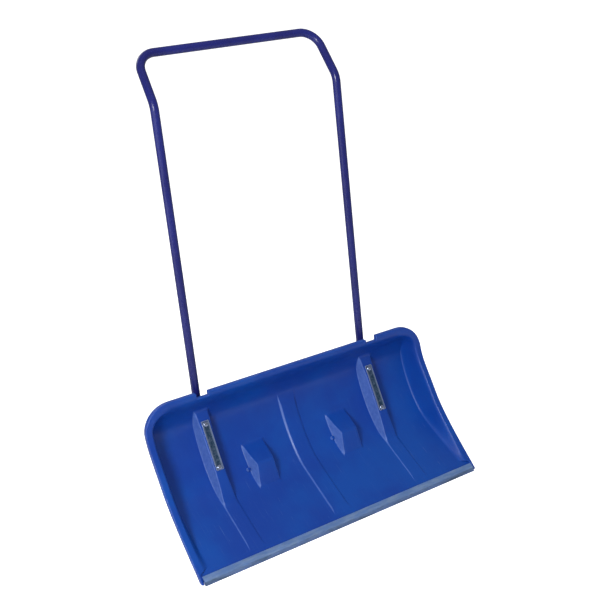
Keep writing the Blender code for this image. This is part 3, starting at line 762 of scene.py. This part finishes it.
def nubMesh(name, centreX):
    # small moulded button beside each wheel pocket
    spot = skinPoint(nub["z"], 0)
    normal = skinPoint(nub["z"], -1) - spot
    r, h, crown = nub["radius"], nub["rise"], nub["radius"] * nub["crown"]
    profile = [(0, h)] + [(crown * i / 3, h - 0.0002 * i / 3) for i in range(1, 3)]
    profile += arc(crown, h - 0.0002 - nub["round"], nub["round"], 80, 10, 4)
    profile += [(r, 0.0006), (r + nub["flare"], -0.0004), (0, -nub["sink"])]
    place = frameAt(Vector((centreX, *spot)), Vector((0, *normal)))
    return turnedMesh(name, profile, place, 28)


# scuff and edge values place real wear; the flank values place a painted sheen
wearAndSheen = {
    "scuffLow": 0.03, "scuffHigh": 0.26, "scuffRim": (0.002, 0.03), "scuffLeast": 0.25,
    "edgeRun": 0.0022, "edgeMost": 0.8, "flankLow": 0.02, "flankWide": 0.3,
    "flankOut": 0.0008, "flankTurn": (0.12, 0.6),
}


def scuffRule(co):
    flat = standing.inverted() @ co
    low = 1 - smoothStep(wearAndSheen["scuffLow"], wearAndSheen["scuffHigh"], flat.z)
    inside = smoothStep(*wearAndSheen["scuffRim"], blade["halfWidth"] - abs(flat.x))
    return mix(wearAndSheen["scuffLeast"], 1.0, low * inside)


def edgeRule(co):
    flat = standing.inverted() @ co
    inset = min(blade["halfWidth"] - abs(flat.x), 0.05)
    if flat.z > blade["cornerZ"]:
        inset = min(inset, topEdge(flat.x) - flat.z)
        corner = Vector((abs(flat.x) - blade["cornerX"], flat.z - blade["cornerZ"]))
        if corner.x > 0:
            inset = min(inset, blade["cornerR"] - corner.length)
    return clamp(1 - inset / wearAndSheen["edgeRun"]) * wearAndSheen["edgeMost"]


def markSheenFlanks(mesh):
    # left-facing sides of the raised shapes, marked for a painted sheen (lighter lavender, as if lit
    # from the left)
    layer = mesh.attributes.new("sheenFlank", "FLOAT", "POINT")
    for vert in mesh.vertices:
        flat = standing.inverted() @ vert.co
        front = flat.y < along(panLine, flat.z) + wearAndSheen["flankOut"]
        floor = front and flat.z > wearAndSheen["flankLow"] and abs(flat.x) < wearAndSheen["flankWide"]
        steep = smoothStep(*wearAndSheen["flankTurn"], -vert.normal.x)
        layer.data[vert.index].value = steep if floor else 0.0


def buildBlade():
    meshes = [sheetMesh("sheet", bladeSurface(0), bladeSurface(blade["skin"]))]
    for name, side in sides:
        middle = side * tent["x"]
        for sign in (-1, 1):
            low, high = sorted((cheek["in"] * sign, cheek["out"] * sign))
            meshes.append(cheekMesh(f"{name}Cheek", middle + low, middle + high))
        meshes.append(nubMesh(f"{name}Nub", middle + nub["x"]))
    mesh = joined("scoopBlade", meshes)
    mesh.transform(standing)
    markVerts(mesh, "scuff", scuffRule)
    markVerts(mesh, "edge", edgeRule)
    markSheenFlanks(mesh)
    addPiece("scoopBlade", mesh, "blade_plastic", ["blade"], sharp=50)


buildBlade()
print("blade built")


# ---- handle

handle = {
    "radius": 0.01, "wall": 0.0015, "setback": 0.0143, "legY": 0.248, "kneeZ": 1.0196,
    "topBar": (0.235, 0.3198, 1.126), "footBendR": 0.06, "kneeBendR": 0.05, "gripBendR": 0.045,
    "end": 0.164, "plugR": 0.0082, "plugDeep": 0.012,
}


def handlePath():
    foot = onBoss(1, handle["end"], -handle["setback"])
    bend = foot - downBoss * ((foot.y - handle["legY"]) / downBoss.y)
    half = [foot, bend, Vector((boss["x"], handle["legY"], handle["kneeZ"])), Vector(handle["topBar"])]
    other = [Vector((-p.x, p.y, p.z)) for p in reversed(half)]
    radii = [handle["footBendR"], handle["kneeBendR"], handle["gripBendR"]]
    return filletPath(half + other, radii + radii[::-1], 14)


def plugProfile():
    r, deep = handle["plugR"], handle["plugDeep"]
    profile = [(0, deep), (r - 0.0007, deep), (r, deep - 0.001)]
    for i in range(3):  # ribs that grip the bore
        z = deep - 0.003 * (i + 1)
        profile += [(r, z), (r - 0.0006, z - 0.0006), (r, z - 0.0012)]
    profile += [(r, -0.0003)] + arc(r + 0.0006, -0.0015, 0.0012, 90, -60, 6)
    return profile + [(r - 0.0007, -0.0028), (0.003, -0.0028), (0.0026, -0.0022), (0, -0.0021)]


def buildHandle():
    curve = bpy.data.curves.new("handleTube", "CURVE")
    curve.dimensions = "3D"
    curve.bevel_depth = handle["radius"]
    curve.bevel_resolution = 8
    curve.use_fill_caps = False
    addSpline(curve, handlePath(), False)
    mesh = curveMesh("handleTube", curve, standing)
    tube = addPiece("handleTube", mesh, "tube_paint", ["handle_tube"], sharp=50)
    wall = tube.modifiers.new("wall", "SOLIDIFY")
    wall.thickness = handle["wall"]
    wall.offset = -1
    for name, side in sides:
        end = frameAt(onBoss(side, handle["end"], -handle["setback"]), -downBoss)
        plug = turnedMesh(f"{name}TubePlug", plugProfile(), standing @ end, 32)
        addPiece(f"{name}TubePlug", plug, "grey_plastic", [f"{name}_tube_plug"])


buildHandle()
print("handle built")


# ---- clamp plates, bolts, washers and nuts

clampSet = {
    "from": 0.0325, "to": 0.1545, "width": 0.02, "thick": 0.002, "corner": 0.0022,
    "channel": 0.0006, "border": 0.003, "boltPlaces": (0.0413, 0.1477), "boltR": 0.003,
    "headR": 0.0065, "headH": 0.0036, "washerR": 0.0072, "washerThick": 0.0014,
    "nutFlats": 0.01, "nutThick": 0.005, "nutBore": 0.0033, "boltHoleR": 0.0034,
    "boltTail": 0.0025, "threadRun": 0.01, "threadPitch": 0.0008, "domeFoot": 0.0006,
    "edgeSoft": 0.0004, "pressSlope": 0.0006, "gap": 0.0003,
}
gap = clampSet["gap"]


def plateMesh(name, matrix):
    # strip of steel with a shallow pressed channel down its middle
    c = clampSet
    halfW, halfL, t, soft = c["width"] / 2, (c["to"] - c["from"]) / 2, c["thick"], c["edgeSoft"]
    corner, border, slope, floor = c["corner"], c["border"], c["pressSlope"], t / 2 - c["channel"]
    outline = []
    for sx, sy, start in ((1, 1, 0), (-1, 1, 90), (-1, -1, 180), (1, -1, 270)):
        outline += arc(sx * (halfW - corner), sy * (halfL - corner), corner, start, start + 90, 5)
    levels = [(soft, -t / 2), (0.0, soft - t / 2), (0.0, t / 2 - soft),
              (soft * 0.3, t / 2 - soft * 0.3), (soft, t / 2), (border - slope, t / 2),
              (border + slope, floor), (0.005, floor), (0.0075, floor)]
    bm = bmesh.new()
    rings = []
    for inset, z in levels:
        across, down = (halfW - inset) / halfW, (halfL - inset) / halfL
        rings.append([bm.verts.new((x * across, y * down, z)) for x, y in outline])
    bridge(bm, rings)
    bm.faces.new(rings[-1])
    bm.faces.new(list(reversed(rings[0])))
    bmesh.ops.triangulate(bm, faces=[f for f in bm.faces if len(f.verts) > 4])
    mesh = finishMesh(name, bm, Matrix.Identity(4))

    def inset(co):
        return min(halfW - abs(co.x), halfL - abs(co.y))

    markVerts(mesh, "middle", lambda co: smoothStep(0.0022, 0.0055, inset(co)))
    markVerts(mesh, "edge", lambda co: 1 - smoothStep(0.0006, 0.0032, inset(co)))
    mesh.transform(matrix)
    return mesh


def boltMesh(name, reach, matrix):
    c = clampSet
    r, foot = c["headR"], c["domeFoot"]
    dome = [(0, gap + c["headH"])]
    for degrees in range(80, -1, -10):
        angle = radians(degrees)
        dome.append((r * cos(angle), gap + foot + (c["headH"] - foot) * sin(angle)))
    start = c["threadRun"] - reach
    shank = [(r, gap + 0.0002), (r - 0.0003, gap), (c["boltR"], gap), (c["boltR"], start)]
    thread = threadProfile(c["boltR"], start, -reach, c["threadPitch"])
    return turnedMesh(name, dome + shank + thread, matrix, 40)


def threadProfile(radius, start, end, pitch):
    found, z = [], start
    while z > end + pitch * 1.6:
        found += [(radius, z - pitch * 0.15), (radius - pitch * 0.45, z - pitch * 0.5)]
        found.append((radius, z - pitch * 0.85))
        z -= pitch
    return found + [(radius, end + pitch), (radius - pitch * 0.8, end), (0, end)]


def nutMesh(name, flats, low, high, bore, matrix, chamfer=0.0006):
    # hexagon whose corners are turned off towards both faces
    bm = bmesh.new()
    cornerR, flatR, count = flats / sqrt(3), flats / 2, 48
    faceR = flatR - 0.0002
    rings = []
    for z, limit in ((low, faceR), (low + chamfer, cornerR), (high - chamfer, cornerR),
                     (high, faceR)):
        ring = []
        for x, y in circle(0, 0, 1, count):
            sector = (atan2(y, x) + pi / 6) % (pi / 3) - pi / 6
            r = min(flatR / cos(sector), limit)
            ring.append(bm.verts.new((r * x, r * y, z)))
        rings.append(ring)
    for z in (high, low):
        rings.append([bm.verts.new((x, y, z)) for x, y in circle(0, 0, bore, count)])
    bridge(bm, rings, True)
    return finishMesh(name, bm, matrix)


def washerMesh(name, outer, bore, low, high, matrix):
    soft = 0.0002
    profile = [(outer - soft, high), (outer, high - soft), (outer, low + soft),
               (outer - soft, low), (bore + soft, low), (bore, low + soft),
               (bore, high - soft), (bore + soft, high)]
    return turnedMesh(name, profile, matrix, 48, closed=True)


def addBright(name, mesh, node):
    addPiece(name, mesh, "zinc_steel", [node], finish=boltZinc)


def buildClamps():
    c = clampSet
    washerTop = -handle["setback"] - handle["radius"] - gap
    washerLow = washerTop - c["washerThick"]
    nutTop = washerLow - gap
    seat = c["thick"] - c["channel"] + gap
    reach = seat - nutTop + c["nutThick"] + c["boltTail"]
    for name, side in sides:
        middle = (c["from"] + c["to"]) / 2
        place = standing @ frameAt(onBoss(side, middle, gap + c["thick"] / 2), outOfBoss)
        addPiece(f"{name}ClampPlate", plateMesh(f"{name}ClampPlate", place), "zinc_steel",
                 [f"{name}_clamp_plate"], sharp=40)
        for row, down in zip(("upper", "lower"), c["boltPlaces"]):
            node, label = f"{name}_{row}", f"{name}{row.title()}"
            axis = standing @ frameAt(onBoss(side, down), outOfBoss)
            head = standing @ frameAt(onBoss(side, down, seat), outOfBoss)
            washer = washerMesh("washer", c["washerR"], c["boltHoleR"], washerLow, washerTop, axis)
            nut = nutMesh("nut", c["nutFlats"], nutTop - c["nutThick"], nutTop, c["nutBore"], axis)
            addBright(f"{label}Washer", washer, f"{node}_washer")
            addBright(f"{label}Nut", nut, f"{node}_nut")
            addBright(f"{label}Bolt", boltMesh("bolt", reach, head), f"{node}_bolt")


buildClamps()
print("clamps built")


# ---- wear strip and its screws

strip = {
    "half": 0.391, "wall": 0.0015, "reach": 0.0148, "land": 0.005, "nose": (0.0025, 0.0103),
    "screwPitch": 0.18, "screwY": 0.015, "screwR": 0.0015, "headR": 0.0035, "headH": 0.002,
    "bite": 0.0022, "screws": 5, "pieces": 60, "heel": 0.005, "rise": 0.0025,
    "grooveBack": 0.0086, "grooveFront": 0.0072, "lowerFrom": 0.0085, "lowerTo": 0.012,
    "softCorners": (0.0004, 0.0016, 0.0009, 0.0008, 0.001, 0.0004, 0.0004, 0.0003, 0.0003, 0.0004),
}
stripFrom, stripTo = panLine[0], panLine[1]
stripRate = (stripTo[0] - stripFrom[0]) / (stripTo[1] - stripFrom[1])
stripSlope = atan(stripRate)
intoBlade = Vector((0, -sin(stripSlope), cos(stripSlope)))


def stripOutline():
    # (y, z) section: over the nose, along the sole and round the groove for the blade
    under, wall = blade["skin"] + gap, strip["wall"]

    def line(y, out):
        height = stripFrom[0] + stripRate * (y - stripFrom[1])
        return Vector((y, height + out / cos(stripSlope)))

    step = Vector((-sin(stripSlope), cos(stripSlope))) * wall
    top = line(strip["reach"], gap + wall)
    back = line(strip["reach"] + strip["heel"], -under - wall)
    land = Vector((strip["land"], strip["land"] * tan(lean)))
    return [top, Vector(strip["nose"]), Vector((0, 0)), land,
            line(strip["land"] + strip["rise"], -under - wall), back, back + step,
            line(strip["grooveBack"], -under), line(strip["grooveFront"], gap), top - step]


def softCorner(before, here, after, soft, count):
    # short curve in place of a corner, as count + 1 points
    back, ahead = before - here, after - here
    a = here + back.normalized() * min(soft, 0.45 * back.length)
    b = here + ahead.normalized() * min(soft, 0.45 * ahead.length)
    shares = [i / count for i in range(count + 1)]
    return [a * (1 - t) ** 2 + here * (2 * t * (1 - t)) + b * t * t for t in shares]


def buildStrip():
    # the section is softened at its corners and then run along the edge
    corners = stripOutline()
    section = []
    for before, here, after, soft in zip(corners[-1:] + corners, corners,
                                         corners[1:] + corners[:1], strip["softCorners"]):
        section += softCorner(before, here, after, soft, 3)
    bm = bmesh.new()
    rings = []
    for i in range(strip["pieces"] + 1):
        x = strip["half"] * (2 * i / strip["pieces"] - 1)
        rings.append([bm.verts.new((x, p.x, p.y)) for p in section])
    bridge(bm, rings)
    bm.faces.new(rings[0])
    bm.faces.new(list(reversed(rings[-1])))
    mesh = finishMesh("wearStrip", bm, Matrix.Identity(4))
    # mark of the strip's lower band, where the shade is painted
    markVerts(mesh, "lower", lambda co: 1 - smoothStep(
        strip["lowerFrom"], strip["lowerTo"], co.z + 0.25 * (0.006 - co.y)))
    mesh.transform(standing)
    addPiece("wearStrip", mesh, "strip_steel", ["wear_strip"], sharp=40)
    seat = Vector((0, strip["screwY"], stripFrom[0] + stripRate * (strip["screwY"] - stripFrom[1])))
    seat -= intoBlade * (blade["skin"] + 2 * gap + strip["wall"])
    for i in range(strip["screws"]):
        across = Vector(((i - (strip["screws"] - 1) / 2) * strip["screwPitch"], 0, 0))
        screw = screwMesh("screw", standing @ frameAt(seat + across, intoBlade))
        addBright(f"stripScrew{i + 1}", screw, f"strip_screw_{i + 1}")


def screwMesh(name, matrix):
    # pan head with a cross recess, its shank biting into the blade
    reach = strip["wall"] + 2 * gap + strip["bite"]
    r, h, shankR = strip["headR"], strip["headH"], strip["screwR"]
    profile = [(0, reach), (shankR * 0.5, reach), (shankR, reach - 0.0006), (shankR, 0)]
    profile += [(r - 0.0001, 0), (r, -0.0002)]
    for degrees in range(10, 81, 14):
        angle = radians(degrees)
        profile.append((r * cos(angle), -0.0006 - (h - 0.0006) * sin(angle)))
    mesh = turnedMesh(name, profile + [(0, -h)], Matrix.Identity(4), 40)
    for vert in mesh.vertices:
        co = vert.co
        inCross = min(abs(co.x), abs(co.y)) < 0.00045 and hypot(co.x, co.y) < r * 0.62
        if inCross and co.z < -h * 0.6:
            co.z += 0.0008
    mesh.transform(matrix)
    return mesh


buildStrip()
print("wear strip built")


# ---- wheels

wheel = {
    "radius": 0.08, "tyreHalf": 0.018, "tyreBore": 0.062, "hubR": 0.015, "hubHalf": 0.024,
    "hubBore": 0.0083, "webHalf": 0.0025, "lip": 0.005, "holeRing": 0.037, "holeR": 0.0105, "holes": 6,
    "bushR": 0.008, "bushBore": 0.00508, "bushHalf": 0.0243, "treads": 36, "grooveDeep": 0.0022,
    "treadSteps": 6, "grooveShare": 0.28, "chevron": 0.6, "centreGroove": 0.0019,
    "shoulder": 0.0065, "shoulderR": 0.0055, "ribSteps": 8, "ribHalf": 0.0014, "ribSoft": 0.0004,
    "ribAtHub": 0.015, "ribAtRim": 0.0125, "ribDip": 0.006,
}


def mirrored(profile, shared=0):
    # the profile and its mirror image below; shared points at the end are used once
    own = profile[:len(profile) - shared]
    return profile + [(r, -h) for r, h in reversed(own)]


def treadDepth(across, radius, share):
    w = wheel
    phase = (share + w["chevron"] * abs(across) / w["tyreHalf"]) % 1.0
    zone = smoothStep(0.0018, 0.0024, abs(across))
    zone *= smoothStep(w["radius"] - 0.01, w["radius"] - 0.006, radius)
    groove = zone if phase < w["grooveShare"] else 0.0
    return w["grooveDeep"] * (1.0 if abs(across) < w["centreGroove"] else groove)


def buildTyre(name, axis):
    # cross section swept round; the grooves are pressed in between the tread blocks
    w = wheel
    top, half, bore, bend = w["radius"], w["tyreHalf"], w["tyreBore"], w["shoulderR"]
    outer = [(across, top) for across in (0.0, 0.0016, 0.002, 0.0052, 0.0085)]
    for degrees in (80, 62, 45, 28, 12):
        outer += arc(half - w["shoulder"], top - bend, bend, degrees, degrees, 1)[:1]
    outer += [(half - 0.0004, top - 0.0085), (half, top - 0.0105), (half - 0.0001, top - 0.0135),
              (half - 0.0006, top - 0.0138), (half - 0.001, bore + 0.0008), (half - 0.0016, bore)]
    section = outer + [(-x, r) for x, r in reversed(outer[1:])]
    count = w["treads"] * w["treadSteps"]
    bm = bmesh.new()
    rings = []
    for i in range(count):
        angle = 2 * pi * i / count
        ring = []
        for across, radius in section:
            r = radius - treadDepth(across, radius, i / w["treadSteps"])
            ring.append(bm.verts.new((r * cos(angle), r * sin(angle), across)))
        rings.append(ring)
    bridge(bm, rings, True)
    mesh = finishMesh(f"{name}Tyre", bm, axis)
    addPiece(f"{name}Tyre", mesh, "tyre_rubber", [f"{name}_tyre"], body=f"{name}_wheel", sharp=30)


def discMesh(name, axis):
    # web with round light holes
    rimR = wheel["tyreBore"] - gap - wheel["lip"] + 0.001
    loops = [circle(0, 0, rimR, 72), circle(0, 0, wheel["hubR"] - 0.001, 36)]
    loops += [circle(x, y, wheel["holeR"], 36)
              for x, y in circle(0, 0, wheel["holeRing"], wheel["holes"])]
    return flatMesh(name, loops, wheel["webHalf"] * 2, 0.0005, axis)


def ribMesh(name, angle, axis):
    # stiffening rib between two light holes, deeper at the hub and at the rim
    w = wheel
    inner, outer = w["hubR"] - 0.0008, w["tyreBore"] - w["lip"] + 0.0004
    half, soft = w["ribHalf"], w["ribSoft"]
    bm = bmesh.new()
    rows = []
    for i in range(w["ribSteps"] + 1):
        t = i / w["ribSteps"]
        r = mix(inner, outer, t)
        tall = mix(w["ribAtHub"], w["ribAtRim"], t) - w["ribDip"] * sin(pi * t)
        low = [(-half, -tall), (soft - half, -tall - soft), (half - soft, -tall - soft),
               (half, -tall)]
        rows.append([bm.verts.new((r, y, z)) for y, z in mirrored(low)])
    bridge(bm, rows)
    bm.faces.new(rows[0])
    bm.faces.new(list(reversed(rows[-1])))
    return finishMesh(name, bm, axis @ Matrix.Rotation(angle, 4, "Z"))


def buildCore(name, axis):
    w = wheel
    lipR, half = w["tyreBore"] - gap, w["tyreHalf"] - 0.0015
    innerR = lipR - w["lip"]
    rim = [(lipR, half - 0.0005), (lipR - 0.0005, half), (innerR + 0.0012, half),
           (innerR + 0.0005, half - 0.0006), (innerR, half - 0.003),
           (innerR - 0.001, 0.003), (innerR - 0.0012, 0.0)]
    hubR, hubBore, hubHalf = w["hubR"], w["hubBore"], w["hubHalf"]
    hub = [(hubBore, hubHalf - 0.0004), (hubBore + 0.0004, hubHalf), (hubR - 0.0022, hubHalf),
           (hubR - 0.0014, hubHalf - 0.0008), (hubR - 0.0002, 0.006), (hubR + 0.0012, 0.0028)]
    meshes = [turnedMesh("rim", mirrored(rim, 1), axis, 96, closed=True),
              turnedMesh("hub", mirrored(hub), axis, 64, closed=True), discMesh("web", axis)]
    for i in range(w["holes"]):
        meshes.append(ribMesh("rib", 2 * pi * (i + 0.5) / w["holes"], axis))
    core = joined(f"{name}WheelCore", meshes)
    body = f"{name}_wheel"
    addPiece(f"{name}WheelCore", core, "grey_plastic", [f"{name}_wheel_core"], body=body)
    r, bore, end, soft = w["bushR"], w["bushBore"], w["bushHalf"], 0.0003
    bush = mirrored([(r, end - soft), (r - soft, end), (bore + soft, end), (bore, end - soft)])
    mesh = turnedMesh(f"{name}Bush", bush, axis, 48, closed=True)
    addPiece(f"{name}Bush", mesh, "nylon", [f"{name}_bush"], body=body)


axleSet = {
    "radius": 0.005, "holeR": 0.0054, "spacerR": 0.0095, "spacerThick": 0.0015,
    "washerR": 0.0105, "washerThick": 0.002, "flats": 0.017, "headH": 0.0064, "nutH": 0.008,
    "headFlats": 0.0145, "headBore": 0.003, "pitch": 0.0012, "tail": 0.003, "threadFrom": 0.004,
}


def buildAxle(name, axis):
    a = axleSet
    spacerTop = cheek["in"] - gap
    spacerLow = spacerTop - a["spacerThick"]
    for label, low, high in (("inner", -spacerTop, -spacerLow), ("outer", spacerLow, spacerTop)):
        mesh = washerMesh("spacer", a["spacerR"], a["holeR"], low, high, axis)
        addBright(f"{name}{label.title()}Spacer", mesh, f"{name}_{label}_spacer")
    face = cheek["out"] + gap
    mesh = washerMesh("washer", a["washerR"], a["holeR"], -face - a["washerThick"], -face, axis)
    addBright(f"{name}AxleWasher", mesh, f"{name}_axle_washer")
    nutFace = face + a["washerThick"] + gap
    nutEnd = nutFace + a["nutH"]
    nut = nutMesh("nut", a["flats"], -nutEnd, -nutFace, a["radius"] + gap, axis, 0.001)
    addBright(f"{name}AxleNut", nut, f"{name}_axle_nut")
    r, flangeR, start = a["radius"], a["flats"] / 2, a["threadFrom"] - face
    shank = [(0, face + 0.0015), (flangeR - 0.0004, face + 0.0015), (flangeR, face + 0.0011),
             (flangeR, face + 0.0003), (flangeR - 0.0003, face), (r, face), (r, start)]
    shank += threadProfile(r, start, -nutEnd - a["tail"], a["pitch"])
    top = face + a["headH"]
    head = nutMesh("head", a["headFlats"], face + 0.001, top, a["headBore"], axis, 0.0008)
    fillR = a["headBore"] + 0.0001
    fill = [(0, top - 0.001), (fillR, top - 0.001), (fillR, face + 0.0012), (0, face + 0.0012)]
    meshes = [turnedMesh("shank", shank, axis, 48), head, turnedMesh("fill", fill, axis, 32)]
    addBright(f"{name}AxleBolt", joined("bolt", meshes), f"{name}_axle_bolt")


for sideName, sideSign in sides:
    centre = Vector((sideSign * wheelCentre.x, wheelCentre.y, wheelCentre.z))
    wheelAxis = standing @ frameAt(centre, (sideSign, 0, 0))
    buildTyre(sideName, wheelAxis)
    buildCore(sideName, wheelAxis)
    buildAxle(sideName, wheelAxis)
print("wheels built")


# ---- floor, camera and lights

studio = {
    "floorSize": 60.0, "floorColour": (0.7, 0.7, 0.7), "floorSeen": 1.0, "floorGlow": 0.12,
    "worldSeen": 1.0, "worldLow": 0.34, "worldHigh": 0.42,
    "keyPlace": (-2.2, -1.8, 1.75), "keySize": 0.7, "keyPower": 66,
    "fillPlace": (0.1, -0.9, 3.2), "fillSize": 1.6, "fillPower": 22,
    "backPlace": (-0.6, 2.6, 2.4), "backSize": 2.2, "backPower": 22,
    "cardPlace": (-2.7, -0.35, 0.55), "cardSize": 1.7, "cardPower": 14,
    "lens": 58.95, "sensor": 36, "cameraPlace": (-1.13831, -1.92983, 1.33912),
    "cameraRight": (0.836436, -0.543558, -0.070142),
    "cameraForward": (0.489273, 0.798237, -0.351327),
}


def buildFloor():
    bm = bmesh.new()
    bmesh.ops.create_grid(bm, x_segments=12, y_segments=12, size=studio["floorSize"] / 2)
    mesh = finishMesh("studioFloor", bm, Matrix.Identity(4))
    floor = newObject("studioFloor", mesh)
    p = Paint("paleFloor", 0.85)
    p.colour(p.blend(p.ramp(p.noise(0.6, 2), 0.3, 0.7), studio["floorColour"], (0.74, 0.74, 0.74)))
    p.shader.inputs["Emission Color"].default_value = (1, 1, 1, 1)
    path = p.nodes.new("ShaderNodeLightPath")
    glow = p.ramp(path.outputs["Is Camera Ray"], 0.0, 1.0, studio["floorGlow"], studio["floorSeen"])
    p.link(glow, p.shader.inputs["Emission Strength"])
    mesh.materials.append(p.mat)


def buildCamera():
    camera = bpy.data.cameras.new("camera")
    camera.lens = studio["lens"]
    camera.sensor_width = studio["sensor"]
    camera.clip_end = 100
    obj = newObject("camera", camera)
    right = Vector(studio["cameraRight"])
    forward = Vector(studio["cameraForward"]).normalized()
    up = right.cross(forward).normalized()
    right = forward.cross(up)
    turn = Matrix((right, up, -forward)).transposed().to_4x4()
    obj.matrix_world = Matrix.Translation(studio["cameraPlace"]) @ turn
    bpy.context.scene.camera = obj


def addLight(name, place, size, power, target=(0, 0, 0.35)):
    light = bpy.data.lights.new(name, "AREA")
    light.size = size
    light.energy = power
    obj = newObject(name, light)
    away = Vector(place) - Vector(target)
    obj.matrix_world = frameAt(Vector(place), away)
    obj.visible_diffuse = name != "card"
    obj.visible_glossy = name != "fill"


def buildWorld():
    world = bpy.data.worlds.new("studio")
    bpy.context.scene.world = world
    world.use_nodes = True
    nodes, links = world.node_tree.nodes, world.node_tree.links
    seen = nodes["Background"]
    seen.inputs["Strength"].default_value = studio["worldSeen"]
    seen.inputs["Color"].default_value = (1, 1, 1, 1)
    lit = nodes.new("ShaderNodeBackground")
    coord = nodes.new("ShaderNodeTexCoord")
    parts = nodes.new("ShaderNodeSeparateXYZ")
    links.new(coord.outputs["Generated"], parts.inputs["Vector"])
    fade = nodes.new("ShaderNodeMapRange")
    for key, number in zip(("From Min", "From Max", "To Min", "To Max"), (
            -0.1, 0.9, studio["worldLow"], studio["worldHigh"])):
        fade.inputs[key].default_value = number
    links.new(parts.outputs["Z"], fade.inputs["Value"])
    links.new(fade.outputs["Result"], lit.inputs["Strength"])
    path = nodes.new("ShaderNodeLightPath")
    both = nodes.new("ShaderNodeMixShader")
    links.new(path.outputs["Is Camera Ray"], both.inputs["Fac"])
    links.new(lit.outputs["Background"], both.inputs[1])
    links.new(seen.outputs["Background"], both.inputs[2])
    links.new(both.outputs["Shader"], nodes["World Output"].inputs["Surface"])


bpy.context.scene.view_settings.view_transform = "Standard"
buildFloor()
buildCamera()
buildWorld()
for lightName in ("key", "fill", "back", "card"):
    addLight(lightName, studio[lightName + "Place"], studio[lightName + "Size"],
             studio[lightName + "Power"])
print("studio ready")
